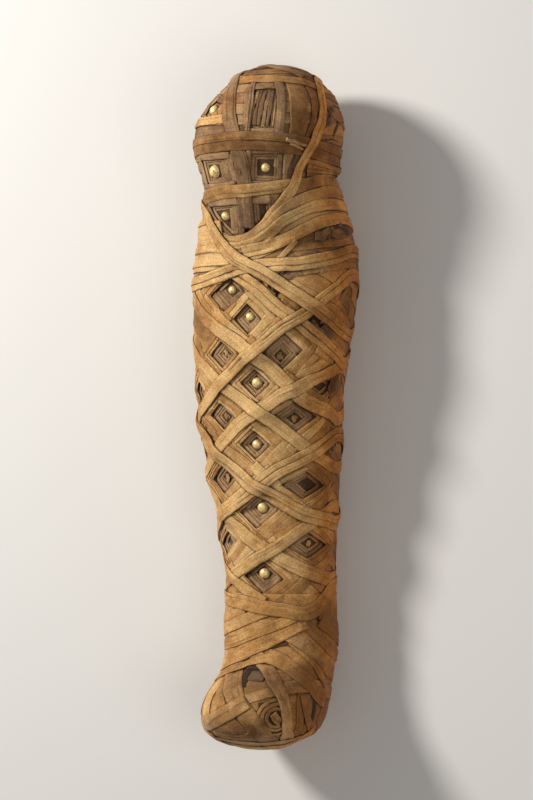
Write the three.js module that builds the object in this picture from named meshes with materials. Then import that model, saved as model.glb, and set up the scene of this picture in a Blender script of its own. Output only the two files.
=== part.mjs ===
// Child mummy of the Roman period in Egypt, wrapped in linen, lying on its back.
// Millimetres. +Z is up and is the front of the body, +Y runs towards the head,
// +X is on the right for someone who looks at the face.
// Places on the body are written [turn, along]: turn is the angle around the body in
// degrees (0 the front, 90 the +X side, 180 the back), along is the Y coordinate.
import * as THREE from 'three';

// Outer form of the wrapped body: across the body, then upwards, at places along it.
// [along, centre, half width, back, widest level, front]
const BODY_SECTIONS = [
  [-408, -8, 56, 66, 104, 150],
  [-392, -8, 62, 34, 96, 166],
  [-378, -8, 69, 14, 88, 182],
  [-360, -8, 72, 3, 80, 188],
  [-340, -6, 70, 1, 68, 179],
  [-322, -2, 67, 1, 58, 152],
  [-298, 1, 69, 1, 54, 120],
  [-260, 0, 70, 1, 52, 110],
  [-200, 0, 69, 0, 52, 112],
  [-122, -4, 77, 0, 56, 122],
  [-40, -7, 87, 0, 62, 136],
  [28, -8, 92, 0, 68, 147],
  [80, -5, 98, 0, 70, 152],
  [130, -1, 102, 0, 70, 152],
  [170, 0, 102, 0, 68, 149],
  [200, 0, 97, 3, 66, 152],
  [222, 0, 91, 7, 64, 163],
  [245, 0, 84, 9, 66, 176],
  [270, -3, 79, 7, 82, 188],
  [300, -3, 85, 4, 94, 193],
  [330, 0, 88, 3, 96, 190],
  [360, 5, 86, 3, 98, 184],
  [409, 12, 80, 3, 100, 176],
];
const SOLE_END = -408;
const CROWN_END = 409;
const SOLE_ROUND_FROM = -380;
const CROWN_ROUND_FROM = 328;
const FRONT_FULLNESS = 2.2;
const BACK_FULLNESS = 2.7;

// The wrapping is built of layers. A layer's depth is measured inwards from the outer
// form. Bandage layer 4 is the outermost and layer 0 the deepest.
const LINEN = 0.7;
const LAYER_PITCH = 1.1;
const OUTER_DEPTH = 0.1;
const TOP_LAYER = 4;
const BODY_NET_OUTER_DEPTH = 5.8;
const BODY_NET_INNER_DEPTH = 7.2;
const SHROUD_DEPTH = 8.8;
const SHROUD_CLOTH = 0.8;
const HEAD_NET_DEPTH = 4.8;
const HEAD_CLOTH_DEPTH = 6.6;
const FOOT_CLOTH_DEPTH = 4.8;
const COVER_CLOTH = 0.8;
const BUNDLE_DEPTH = 12;
const FOOT_BUNDLE_DEPTH = 15;
const ANKLE = -275;

// The outermost turns are pressed flat under the back, where the body rests.
const REST_LEVEL = 0.6;
const REST_LINEN = 0.3;

// Angles at which the turns around the body are bent.
const FRONT_STEP = 7.5;
const BACK_STEP = 15;

const PALE_LINEN = { color: 0xc9a26b, roughness: 0.92, metalness: 0 };
const WARM_LINEN = { color: 0xb4864f, roughness: 0.92, metalness: 0 };
const GREY_LINEN = { color: 0x9a8163, roughness: 0.94, metalness: 0 };
const DARK_LINEN = { color: 0x6b5340, roughness: 0.95, metalness: 0 };
const GILDING = { color: 0xe0c070, roughness: 0.38, metalness: 1 };

const mummy = new THREE.Group();

function between(low, value, high) {
  return Math.min(Math.max(value, low), high);
}

// Smooth value at x of a column through rows that are sorted by their first number.
function smoothColumn(rows, column, x) {
  const last = rows.length - 1;
  const position = between(rows[0][0], x, rows[last][0]);
  let i = 0;
  while (i < last - 1 && position > rows[i + 1][0]) i += 1;
  const slope = (k) => {
    if (k === 0 || k === last) return 0;
    return (rows[k + 1][column] - rows[k - 1][column]) / (rows[k + 1][0] - rows[k - 1][0]);
  };
  const span = rows[i + 1][0] - rows[i][0];
  const t = (position - rows[i][0]) / span;
  const rise = t * t * (3 - 2 * t);
  const leave = t * (1 - t) * (1 - t) * span;
  const arrive = t * t * (t - 1) * span;
  const step = rows[i + 1][column] - rows[i][column];
  return rows[i][column] + step * rise + slope(i) * leave + slope(i + 1) * arrive;
}

// Section of the body at one place along it, set in by an even amount where asked.
function sectionAt(along, inset = 0) {
  const column = (k) => smoothColumn(BODY_SECTIONS, k, along);
  const level = column(4);
  return {
    centre: column(1),
    width: column(2) - inset,
    level,
    toBack: level - column(3) - inset,
    toFront: column(5) - level - inset,
  };
}

// How far along the rounded sole or crown a place is: 0 on the body, 1 at its end.
function roundingAt(along, inset = 0) {
  const crown = (along - CROWN_ROUND_FROM) / (CROWN_END - inset - CROWN_ROUND_FROM);
  const sole = (SOLE_ROUND_FROM - along) / (SOLE_ROUND_FROM - SOLE_END - inset);
  return between(0, Math.max(crown, sole), 1);
}

// Point of the outer form, or of the form set in by an even amount.
function formPoint(turn, along, inset = 0) {
  const section = sectionAt(along, inset);
  const cap = Math.sqrt(1 - roundingAt(along, inset) ** 2);
  const angle = THREE.MathUtils.degToRad(turn);
  const sine = Math.sin(angle);
  const cosine = Math.cos(angle);
  const front = cosine >= 0;
  const power = 2 / (front ? FRONT_FULLNESS : BACK_FULLNESS);
  const reach = front ? section.toFront : section.toBack;
  return new THREE.Vector3(
    section.centre + cap * section.width * Math.sign(sine) * Math.abs(sine) ** power,
    along,
    section.level + cap * reach * Math.sign(cosine) * Math.abs(cosine) ** power,
  );
}

// Zero on the outer form, less inside it and more outside it.
function formValue(point) {
  const section = sectionAt(point.y);
  const up = point.z - section.level;
  const fullness = up >= 0 ? FRONT_FULLNESS : BACK_FULLNESS;
  const reach = up >= 0 ? section.toFront : section.toBack;
  const across = Math.abs((point.x - section.centre) / section.width) ** fullness;
  const upwards = Math.abs(up / reach) ** fullness;
  return (across + upwards) ** (2 / fullness) + roundingBeyond(point.y) ** 2 - 1;
}

function roundingBeyond(along) {
  const crown = (along - CROWN_ROUND_FROM) / (CROWN_END - CROWN_ROUND_FROM);
  const sole = (SOLE_ROUND_FROM - along) / (SOLE_ROUND_FROM - SOLE_END);
  return Math.max(0, crown, sole);
}

function formGradient(point) {
  const reach = 0.05;
  const gradient = new THREE.Vector3();
  for (const axis of ['x', 'y', 'z']) {
    const ahead = point.clone();
    const behind = point.clone();
    ahead[axis] += reach;
    behind[axis] -= reach;
    gradient[axis] = (formValue(ahead) - formValue(behind)) / (2 * reach);
  }
  return gradient;
}

function outwards(point) {
  return formGradient(point).normalize();
}

// Moves a point that is near the outer form onto it.
function ontoForm(point) {
  const moved = point.clone();
  for (let k = 0; k < 12; k += 1) {
    const gradient = formGradient(moved);
    moved.addScaledVector(gradient, -formValue(moved) / gradient.lengthSq());
  }
  return moved;
}

function layerDepth(layer) {
  return OUTER_DEPTH + LAYER_PITCH * (TOP_LAYER - layer);
}

// Angles around the body for the plain cloths, which are bent at an even step.
const COVER_TURNS = Array.from({ length: 360 / BACK_STEP }, (_, k) => k * BACK_STEP - 180);

// Angles for the bandages, closer together over the front of the body.
const TURNS = COVER_TURNS.flatMap((turn) => {
  const front = Math.abs(turn + FRONT_STEP) < 90;
  return front ? [turn, turn + FRONT_STEP] : [turn];
});

// The turns that the body rests on have two more bends, where they are pressed flat.
const REST_TURNS = [-180, -180 + FRONT_STEP, ...TURNS.slice(1), 180 - FRONT_STEP];

// Adds a named piece of the object with a material of its own.
function addPiece(name, geometry, finish) {
  const mesh = new THREE.Mesh(geometry, new THREE.MeshStandardMaterial(finish));
  mesh.name = name;
  mummy.add(mesh);
  return mesh;
}

// Closed cloth made from a triangulated patch of the outer form: its outer face, its
// inner face, and walls along every free edge of the patch.
function clothGeometry(points, triangles, depth, thickness) {
  const positions = [];
  const inner = points.length;
  const normals = points.map(outwards);
  points.forEach((point, k) => {
    const place = point.clone().addScaledVector(normals[k], -depth);
    place.z = Math.max(place.z, REST_LEVEL);
    positions.push(place.x, place.y, place.z);
  });
  points.forEach((point, k) => {
    const place = point.clone().addScaledVector(normals[k], -depth - thickness);
    place.z = Math.max(place.z, REST_LEVEL + REST_LINEN);
    positions.push(place.x, place.y, place.z);
  });
  const index = [];
  const edges = new Set();
  for (const [a, b, c] of triangles) {
    index.push(a, b, c, inner + a, inner + c, inner + b);
    edges.add(`${a} ${b}`).add(`${b} ${c}`).add(`${c} ${a}`);
  }
  for (const edge of edges) {
    const [a, b] = edge.split(' ').map(Number);
    if (!edges.has(`${b} ${a}`)) {
      index.push(b, a, inner + a, b, inner + a, inner + b);
    }
  }
  const geometry = new THREE.BufferGeometry();
  geometry.setAttribute('position', new THREE.Float32BufferAttribute(positions, 3));
  geometry.setIndex(index);
  return geometry;
}

// Triangles between two lists of vertex numbers that run the same way, left and right.
function zip(left, right, height, triangles) {
  let i = 0;
  let j = 0;
  while (i < left.length - 1 || j < right.length - 1) {
    const canRight = j < right.length - 1;
    const nextLeft = i < left.length - 1 ? height(left[i + 1]) : Infinity;
    const takeRight = canRight && height(right[j + 1]) <= nextLeft;
    if (takeRight) {
      triangles.push([left[i], right[j], right[j + 1]]);
      j += 1;
    } else {
      triangles.push([left[i], right[j], left[i + 1]]);
      i += 1;
    }
  }
}

// Least length of cloth between an opening and the next bend.
const WINDOW_MARGIN = 4;

// Tube of cloth around the body, bent at the places along it. Windows are openings
// [turn, along, half turn, half length, shape]; a 'lozenge' ends in points on its left
// and right, a 'frame' has straight sides.
function netPatch(turns, places, windows) {
  const from = places[0];
  const to = places[places.length - 1];
  const halfLength = (window, turn) => {
    const [centre, , halfTurn, half, shape] = window;
    const away = Math.abs(turn - centre) / halfTurn;
    if (away > 1.0001) return null;
    return shape === 'frame' ? half : Math.max(0, half * (1 - away));
  };
  const onSide = ([centre, , halfTurn, , shape], turn) => shape === 'frame'
    && Math.abs(Math.abs(turn - centre) - halfTurn) < 1e-6;
  const points = [];
  const columns = turns.map((turn) => {
    const heights = [];
    const holes = windows.filter((window) => halfLength(window, turn) !== null);
    for (const window of holes) {
      heights.push(window[1] - halfLength(window, turn), window[1] + halfLength(window, turn));
    }
    for (const along of places) {
      const clear = (window) => onSide(window, turn)
        || Math.abs(along - window[1]) > halfLength(window, turn) + WINDOW_MARGIN;
      if (holes.every(clear)) heights.push(along);
    }
    const sorted = [...new Set(heights)].sort((a, b) => a - b);
    return sorted.map((along) => {
      points.push(formPoint(turn, along));
      return points.length - 1;
    });
  });
  const height = (vertex) => points[vertex].y;
  const triangles = [];
  turns.forEach((turn, k) => {
    const nextColumn = (k + 1) % turns.length;
    const nextTurn = nextColumn ? turns[nextColumn] : turns[0] + 360;
    const open = windows.filter((window) => halfLength(window, turn) !== null
      && halfLength(window, nextTurn) !== null);
    open.sort((a, b) => a[1] - b[1]);
    const bounds = [[from, from]];
    for (const window of open) {
      bounds.push([window[1] - halfLength(window, turn), window[1] - halfLength(window, nextTurn)]);
      bounds.push([window[1] + halfLength(window, turn), window[1] + halfLength(window, nextTurn)]);
    }
    bounds.push([to, to]);
    for (let b = 0; b < bounds.length; b += 2) {
      const inside = (side) => (vertex) => height(vertex) >= bounds[b][side] - 1e-6
        && height(vertex) <= bounds[b + 1][side] + 1e-6;
      zip(columns[k].filter(inside(0)), columns[nextColumn].filter(inside(1)), height, triangles);
    }
  });
  return { points, triangles };
}

function addNet(name, { turns = TURNS, places, windows = [], depth, thickness = LINEN, finish }) {
  const { points, triangles } = netPatch(turns, places, windows);
  return addPiece(name, clothGeometry(points, triangles, depth, thickness), finish);
}

// Cap of cloth that closes over the crown (end = CROWN_END) or the sole (SOLE_END).
function addCap(name, { end, places, depth, finish }) {
  const points = [];
  const triangles = [];
  const rows = places.map((along) => COVER_TURNS.map((turn) => points.push(formPoint(turn, along)) - 1));
  const pole = points.push(formPoint(0, end)) - 1;
  const outward = end > 0;
  const face = (a, b, c) => triangles.push(outward ? [a, b, c] : [a, c, b]);
  rows.forEach((row, r) => {
    row.forEach((vertex, k) => {
      const beside = (k + 1) % row.length;
      if (r + 1 < rows.length) {
        face(vertex, row[beside], rows[r + 1][beside]);
        face(vertex, rows[r + 1][beside], rows[r + 1][k]);
      } else {
        face(vertex, row[beside], pole);
      }
    });
  });
  return addPiece(name, clothGeometry(points, triangles, depth, COVER_CLOTH), finish);
}

// Bandage that turns once around the body, bent at the body's own angles. Its path is
// [turn, along] through the full circle, and its width is square to the path.
function addTurn(name, { path, width, layer, lanes = 1, finish }) {
  const closed = [[path[path.length - 1][0] - 360, path[path.length - 1][1]], ...path,
    [path[0][0] + 360, path[0][1]]];
  const middle = (turn) => smoothColumn(closed, 1, turn);
  const turns = layer === TOP_LAYER ? REST_TURNS : TURNS;
  const half = turns.map((turn) => {
    const reach = 2;
    const a = formPoint(turn - reach, middle(turn - reach));
    const b = formPoint(turn + reach, middle(turn + reach));
    const around = Math.hypot(b.x - a.x, b.z - a.z);
    return (width / 2) * Math.hypot(1, (b.y - a.y) / around);
  });
  const points = [];
  const triangles = [];
  const rows = turns.map((turn, k) => {
    const row = [];
    for (let lane = 0; lane <= lanes; lane += 1) {
      const along = middle(turn) + half[k] * ((2 * lane) / lanes - 1);
      row.push(points.push(formPoint(turn, along)) - 1);
    }
    return row;
  });
  joinRows([...rows, rows[0]], triangles);
  return addPiece(name, clothGeometry(points, triangles, layerDepth(layer), LINEN), finish);
}

// Triangles between rows of vertices; each row runs across the bandage.
function joinRows(rows, triangles) {
  for (let r = 0; r + 1 < rows.length; r += 1) {
    for (let k = 0; k + 1 < rows[r].length; k += 1) {
      triangles.push([rows[r][k], rows[r + 1][k], rows[r + 1][k + 1]]);
      triangles.push([rows[r][k], rows[r + 1][k + 1], rows[r][k + 1]]);
    }
  }
}

// Bandage laid along any path on the body, with its two ends tucked under others.
function addStrip(name, { path, width, layer, step = 12, lanes = 1, finish }) {
  const corners = path.map(([turn, along]) => formPoint(turn, along));
  const curve = new THREE.CatmullRomCurve3(corners, false, 'centripetal');
  const count = Math.max(2, Math.round(curve.getLength() / step));
  const points = [];
  const rows = [];
  for (let k = 0; k <= count; k += 1) {
    const centre = ontoForm(curve.getPointAt(k / count));
    const across = outwards(centre).cross(curve.getTangentAt(k / count)).normalize();
    const row = [];
    for (let lane = 0; lane <= lanes; lane += 1) {
      const aside = (width / 2) * ((2 * lane) / lanes - 1);
      row.push(points.push(ontoForm(centre.clone().addScaledVector(across, aside))) - 1);
    }
    rows.push(row);
  }
  const triangles = [];
  joinRows(rows, triangles);
  return addPiece(name, clothGeometry(points, triangles, layerDepth(layer), LINEN), finish);
}

// Gilded stud: a low dome with a rounded edge on a flat back, set in a coffer.
function addStud(name, { turn, along, radius, height, ground }) {
  const edge = 0.12 * height;
  const profile = [new THREE.Vector2(0, 0), new THREE.Vector2(radius, 0), new THREE.Vector2(radius, edge)];
  for (let k = 1; k <= 3; k += 1) {
    const angle = (k / 3) * (Math.PI / 2);
    const across = k < 3 ? radius * Math.cos(angle) : 0;
    profile.push(new THREE.Vector2(across, edge + (height - edge) * Math.sin(angle)));
  }
  const stud = addPiece(name, new THREE.LatheGeometry(profile, 12), GILDING);
  const seat = formPoint(turn, along);
  const out = outwards(seat);
  stud.position.copy(seat.addScaledVector(out, -ground));
  stud.quaternion.setFromUnitVectors(new THREE.Vector3(0, 1, 0), out);
  return stud;
}

// The bundle inside: the child's body in its first wrappings.
function addBundle() {
  const places = [-388, -375, -355, -334, -316, -298, -276, -270, -200, -110, -20, 60, 130, 175, 205,
    235, 262, 290, 330, 360, 385];
  const step = 2 * BACK_STEP;
  const points = [];
  const triangles = [];
  const rows = places.map((along) => {
    const inset = along < ANKLE ? FOOT_BUNDLE_DEPTH : BUNDLE_DEPTH;
    const row = [];
    for (let turn = -180; turn < 180; turn += step) {
      row.push(points.push(formPoint(turn, along, inset)) - 1);
    }
    return row;
  });
  joinRows(rows.map((row) => [...row, row[0]]), triangles);
  const sole = points.push(formPoint(0, SOLE_END + FOOT_BUNDLE_DEPTH, FOOT_BUNDLE_DEPTH)) - 1;
  const crown = points.push(formPoint(0, CROWN_END - BUNDLE_DEPTH, BUNDLE_DEPTH)) - 1;
  const first = rows[0];
  const last = rows[rows.length - 1];
  first.forEach((vertex, k) => triangles.push([sole, vertex, first[(k + 1) % first.length]]));
  last.forEach((vertex, k) => triangles.push([crown, last[(k + 1) % last.length], vertex]));
  const geometry = new THREE.BufferGeometry();
  const positions = points.flatMap((point) => [point.x, point.y, point.z]);
  geometry.setAttribute('position', new THREE.Float32BufferAttribute(positions, 3));
  geometry.setIndex(triangles.flatMap(([a, b, c]) => [a, c, b]));
  addPiece('wrapped_body', geometry, WARM_LINEN);
}

// Plain cloths that cover the bundle and show as the floor of every coffer.
function addCovers() {
  addNet('body_shroud', {
    turns: COVER_TURNS, depth: SHROUD_DEPTH, thickness: SHROUD_CLOTH, finish: GREY_LINEN,
    places: [-286, -245, -205, -160, -110, -60, -10, 40, 85, 125, 155, 186],
  });
  addCap('head_cloth', {
    end: CROWN_END, depth: HEAD_CLOTH_DEPTH, finish: GREY_LINEN,
    places: [192, 212, 232, 250, 265, 285, 310, 335, 354, 370, 384, 395, 403],
  });
  addCap('foot_cloth', {
    end: SOLE_END, depth: FOOT_CLOTH_DEPTH, finish: WARM_LINEN,
    places: [-294, -302, -310, -318, -328, -342, -360, -376, -388, -399],
  });
}

// Stepped coffers: under the outer turns, lozenge openings that narrow in two steps.
// The outer net has the wide step and the inner net the narrow one.
const COFFERS = [[-15, 140], [0, 108], [-15, 65], [22.5, 60], [7.5, 28], [-52.5, 20], [67.5, 25],
  [-22.5, -12], [37.5, -15], [0, -45], [-67.5, -58], [75, -52], [-30, -85], [52.5, -92], [0, -120],
  [-45, -163], [52.5, -163], [0, -197]];
const WIDE_STEP = [15, 24];
const NARROW_STEP = [7.5, 13];
const NET_PLACES = [-228, -186, -144, -102, -60, -18, 24, 64, 98, 130, 158];

function addBodyNets() {
  const lozenges = ([halfTurn, half]) => COFFERS.map(([turn, along]) => [turn, along, halfTurn, half]);
  addNet('coffer_net_inner', {
    places: NET_PLACES, depth: BODY_NET_INNER_DEPTH, finish: DARK_LINEN,
    windows: lozenges(NARROW_STEP),
  });
  addNet('coffer_net_outer', {
    places: NET_PLACES, depth: BODY_NET_OUTER_DEPTH, finish: GREY_LINEN,
    windows: lozenges(WIDE_STEP),
  });
}

// Framed recesses of the head: [turn, along, half turn, half length].
const HEAD_RECESSES = [
  [-37.5, 354, 7.5, 11],
  [-30, 274, 15, 11.5],
  [22.5, 279, 7.5, 12],
  [-22.5, 224, 7.5, 11],
  [11.25, 226, 3.75, 9],
  [11.25, 352, 11.25, 25],
];

function addHeadNet() {
  addNet('head_net', {
    depth: HEAD_NET_DEPTH, finish: GREY_LINEN,
    places: [206, 224, 242, 260, 280, 300, 320, 338, 354, 367, 378, 386, 392],
    windows: HEAD_RECESSES.map((recess) => [...recess, 'frame']),
  });
}

// Strips and turns of the head, from the deepest to the outermost.
function addHeadBands() {
  addCap('crown_wrap', {
    end: CROWN_END, depth: layerDepth(2), finish: PALE_LINEN, places: [394.5, 399, 404],
  });
  const browStrips = [
    ['brow_strip_left', 5, [[5, 325], [2.5, 345], [0.5, 362], [-3, 378], [-7, 387]]],
    ['brow_strip_middle', 12, [[30, 322], [28.5, 340], [27, 358], [25, 374], [20, 387]]],
    ['brow_panel', 20, [[45, 318], [45, 336], [44.5, 356], [44, 374], [41, 387]]],
    ['brow_strip_right', 8, [[58, 318], [60, 336], [62, 356], [62, 374], [59, 386]]],
  ];
  for (const [name, width, path] of browStrips) {
    const wide = name === 'brow_panel';
    addStrip(name, { path, width, layer: 1, lanes: wide ? 3 : 1, finish: wide ? WARM_LINEN : GREY_LINEN });
  }
  addStrip('nose_band', {
    path: [[-1, 215], [-1, 240], [1, 262], [1, 285], [-2, 308], [-5, 325], [-9, 342], [-15, 360],
      [-24, 374], [-34, 382], [-40, 386]],
    width: 15, layer: 2, lanes: 2, finish: PALE_LINEN,
  });
  addTurn('crown_band', {
    path: [[-180, 376], [-120, 386], [-60, 391], [-20, 389], [20, 388], [50, 386], [90, 378]],
    width: 9, layer: 3, finish: PALE_LINEN,
  });
  addTurn('forehead_band', {
    path: [[-180, 296], [-90, 305], [-30, 309], [10, 311], [40, 307], [90, 300]],
    width: 20, layer: 3, lanes: 2, finish: PALE_LINEN,
  });
  addTurn('cheek_band', {
    path: [[-180, 250], [-90, 246], [-45, 249], [-10, 252], [20, 255], [40, 259], [90, 264], [140, 258]],
    width: 14, layer: 3, lanes: 2, finish: PALE_LINEN,
  });
  addStrip('jaw_band', {
    path: [[9, 213], [21, 231], [34, 248], [44, 261], [52, 279], [59, 302], [66, 328], [70, 348],
      [73, 364], [80, 380], [110, 394], [170, 394], [-150, 372], [-132, 345], [-122, 310], [-118, 272]],
    width: 13, layer: 4, step: 14, lanes: 2, finish: PALE_LINEN,
  });
}

// Bandages that fan out from under the chin to the shoulders.
function addNeckBands() {
  addStrip('neck_band_high', {
    path: [[14, 221], [30, 235], [45, 244], [62, 251], [82, 256], [110, 254], [150, 246], [178, 240]],
    width: 13, layer: 1, step: 11, lanes: 2, finish: WARM_LINEN,
  });
  addStrip('neck_band_middle', {
    path: [[-9, 202], [8, 207], [22, 217], [36, 227], [50, 235], [66, 240], [84, 242], [112, 238],
      [150, 228], [176, 222]],
    width: 13, layer: 2, step: 11, lanes: 2, finish: PALE_LINEN,
  });
  addStrip('neck_band_low', {
    path: [[-3, 186], [10, 190], [24, 199], [38, 209], [52, 217], [68, 223], [84, 225], [110, 219],
      [140, 208], [170, 200]],
    width: 14, layer: 3, step: 10, lanes: 2, finish: PALE_LINEN,
  });
  addStrip('chest_strip', {
    path: [[8, 160], [15, 173], [21, 184], [26, 193]], width: 6, layer: 2, finish: PALE_LINEN,
  });
}

// Turns that rise from lower left to upper right across the front.
const RISING = [
  ['rising_turn_1', 3, 15, [[-180, 160], [-90, 147], [-60, 148], [-40, 151], [-25, 156], [0, 166],
    [30, 169], [60, 177], [90, 186], [135, 176]]],
  ['rising_turn_2', 3, 14, [[-135, -8], [-90, -28], [-60, -13], [-35, 11], [-20, 29], [0, 60], [20, 93],
    [38, 112], [60, 138], [90, 158], [135, 120], [180, 62]]],
  ['rising_turn_3', 1, 15, [[-135, -70], [-90, -88], [-60, -75], [-40, -58], [-25, -43], [-5, -16],
    [15, 5], [25, 15], [45, 28], [60, 36], [90, 48], [135, 20], [180, -28]]],
  ['rising_turn_4', 3, 17, [[-135, -138], [-90, -155], [-55, -138], [-25, -117], [0, -95], [15, -78],
    [35, -64], [60, -47], [90, -32], [135, -55], [180, -98]]],
  ['rising_turn_5', 3, 14, [[-135, -208], [-90, -219], [-45, -205], [-15, -187], [0, -176], [20, -160],
    [43, -143], [70, -126], [90, -118], [135, -138], [180, -178]]],
];

// Turns that fall from upper left to lower right across the front.
const FALLING = [
  ['falling_turn_1', 4, 15, [[-135, 236], [-90, 246], [-60, 238], [-42, 226], [-30, 208], [-20, 191],
    [-10, 176], [0, 165], [20, 142], [40, 122], [60, 105], [80, 91], [100, 86], [135, 110], [180, 170]]],
  ['falling_turn_2', 2, 15, [[-135, 200], [-90, 216], [-55, 204], [-35, 184], [-20, 168], [-5, 152],
    [5, 137], [15, 120], [30, 104], [45, 88], [60, 74], [75, 62], [90, 52], [135, 78], [180, 136]]],
  ['falling_turn_3', 0, 16, [[-135, 128], [-90, 144], [-60, 127], [-40, 108], [-20, 91], [-5, 75],
    [5, 60], [15, 47], [25, 33], [40, 12], [55, 2], [70, -5], [90, -13], [135, 14], [180, 66]]],
  ['falling_turn_4', 2, 14, [[-135, 70], [-90, 86], [-60, 68], [-40, 50], [-15, 22], [5, -3], [25, -27],
    [45, -48], [60, -60], [90, -72], [135, -50], [180, 2]]],
  ['falling_turn_5', 4, 17, [[-135, -12], [-90, -3], [-60, -24], [-45, -42], [-30, -59], [-10, -82],
    [0, -94], [20, -111], [40, -125], [70, -134], [100, -138], [135, -118], [180, -66]]],
  ['falling_turn_6', 2, 16, [[-135, -92], [-90, -84], [-50, -113], [-35, -130], [-20, -145], [-5, -160],
    [15, -178], [30, -188], [50, -197], [90, -205], [135, -190], [180, -142]]],
];

function addBodyTurns() {
  for (const [name, layer, width, path] of RISING) {
    addTurn(name, { path, width, layer, finish: PALE_LINEN });
  }
  for (const [name, layer, width, path] of FALLING) {
    addTurn(name, { path, width, layer, finish: layer % 4 ? PALE_LINEN : WARM_LINEN });
  }
}

// Bandages of the shins and ankles, each lying over the one below it.
function addLegBands() {
  addStrip('falling_strip_7', {
    path: [[-84, -176], [-60, -190], [-40, -203], [-20, -217], [0, -232]],
    width: 14, layer: 2, step: 9, finish: PALE_LINEN,
  });
  addTurn('ankle_turn', {
    path: [[-180, -222], [-90, -226], [-40, -231], [-20, -233], [0, -238], [20, -241], [40, -245],
      [55, -240], [70, -228], [90, -214], [135, -212]],
    width: 15, layer: 4, finish: PALE_LINEN,
  });
  const shin = [
    ['shin_band_1', 3, 12, [[30, -252], [10, -259], [-10, -269], [-30, -278], [-55, -284], [-90, -288],
      [-135, -290]]],
    ['shin_band_2', 2, 16, [[42, -254], [20, -266], [5, -276], [-10, -286], [-30, -298], [-55, -306],
      [-90, -310], [-135, -310]]],
    ['shin_band_3', 1, 12, [[13, -293], [0, -299], [-15, -305], [-32, -313], [-60, -321], [-90, -325],
      [-135, -326]]],
    ['calf_band_1', 1, 16, [[24, -270], [40, -281], [52, -290], [66, -300], [80, -310], [100, -320],
      [135, -328]]],
    ['calf_band_2', 1, 13, [[47, -262], [62, -275], [77, -287], [95, -296], [130, -302]]],
  ];
  for (const [name, layer, width, path] of shin) {
    addStrip(name, { path, width, layer, lanes: 2, finish: name.startsWith('calf') ? WARM_LINEN : PALE_LINEN });
  }
}

// Bandages of the feet: over the instep, around the toes and under the soles.
function addFootBands() {
  const strips = [
    ['foot_cross_band', 1, 15, [[-6, -321], [10, -327], [28, -330], [50, -328], [68, -330], [92, -340],
      [130, -346]]],
    ['foot_side_band', 1, 17, [[-135, -372], [-90, -374], [-50, -371], [-30, -366], [-12, -359], [0, -349]]],
    ['toe_band', 2, 16, [[-22, -320], [-12, -331], [0, -344], [9, -358], [17, -372], [24, -386],
      [32, -396], [50, -403]]],
    ['instep_band', 3, 13, [[7, -307], [19, -317], [31, -329], [41, -342], [46, -356], [48, -372],
      [50, -385], [58, -395], [80, -403], [150, -404], [168, -397]]],
    ['foot_side_strip', 1, 12, [[60, -342], [66, -356], [72, -370], [84, -383]]],
    ['sole_band', 4, 11, [[-95, -388], [-60, -391], [-30, -394], [0, -396], [30, -395], [60, -392],
      [95, -388]]],
  ];
  for (const [name, layer, width, path] of strips) {
    addStrip(name, { path, width, layer, step: 9, lanes: 2, finish: WARM_LINEN });
  }
}

function addStuds() {
  const headStuds = [[-37.5, 354, 6, 6.6], [-30, 274, 7.2, 6.1], [22.5, 279, 4.5, 6.9], [-22, 225, 4.8, 6.3]];
  headStuds.forEach(([turn, along, radius, ground], k) => {
    addStud(`head_stud_${k + 1}`, { turn, along, radius, height: radius * 0.75, ground });
  });
  const bodyStuds = [[-15, 140, 8.3], [0, 108, 8.3], [7.5, 28, 9], [0, -45, 8.3], [0, -120, 8.3],
    [0, -197, 8.3]];
  bodyStuds.forEach(([turn, along, ground], k) => {
    addStud(`body_stud_${k + 1}`, { turn, along, radius: 5.6, height: 5, ground });
  });
}

// Sets the object's origin under the middle of its outline, on the floor.
function setOrigin() {
  mummy.updateMatrixWorld(true);
  const box = new THREE.Box3().setFromObject(mummy, true);
  mummy.position.set(-(box.min.x + box.max.x) / 2, -(box.min.y + box.max.y) / 2, -box.min.z);
}

addBundle();
addCovers();
addBodyNets();
addHeadNet();
addHeadBands();
addNeckBands();
addBodyTurns();
addLegBands();
addFootBands();
addStuds();
setOrigin();

export default mummy;
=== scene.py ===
# Child mummy wrapped in linen, lying on its back: stepped lozenge coffers with gilt studs
# between crossing bandages. The wrapping is laid strip by strip, and each strip rests on
# what was laid before it. Lengths are millimetres until MM turns them into metres, and left
# and right are those of a viewer who looks down on it with its head at the top.
import math

import bpy
import numpy as np
from mathutils import Matrix, Vector


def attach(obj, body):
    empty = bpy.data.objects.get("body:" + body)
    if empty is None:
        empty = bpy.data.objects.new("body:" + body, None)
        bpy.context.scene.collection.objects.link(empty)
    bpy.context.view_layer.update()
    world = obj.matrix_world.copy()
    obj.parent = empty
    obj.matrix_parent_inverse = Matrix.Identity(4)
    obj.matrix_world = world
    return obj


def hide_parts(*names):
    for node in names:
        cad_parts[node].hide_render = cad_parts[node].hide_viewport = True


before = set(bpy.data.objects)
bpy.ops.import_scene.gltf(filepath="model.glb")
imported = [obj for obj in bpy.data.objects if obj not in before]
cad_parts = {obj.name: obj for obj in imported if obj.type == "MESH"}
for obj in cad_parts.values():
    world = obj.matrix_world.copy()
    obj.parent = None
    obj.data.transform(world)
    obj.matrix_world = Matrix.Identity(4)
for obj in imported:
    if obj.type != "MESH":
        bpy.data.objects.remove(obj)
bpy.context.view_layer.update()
MM = 0.001

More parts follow.
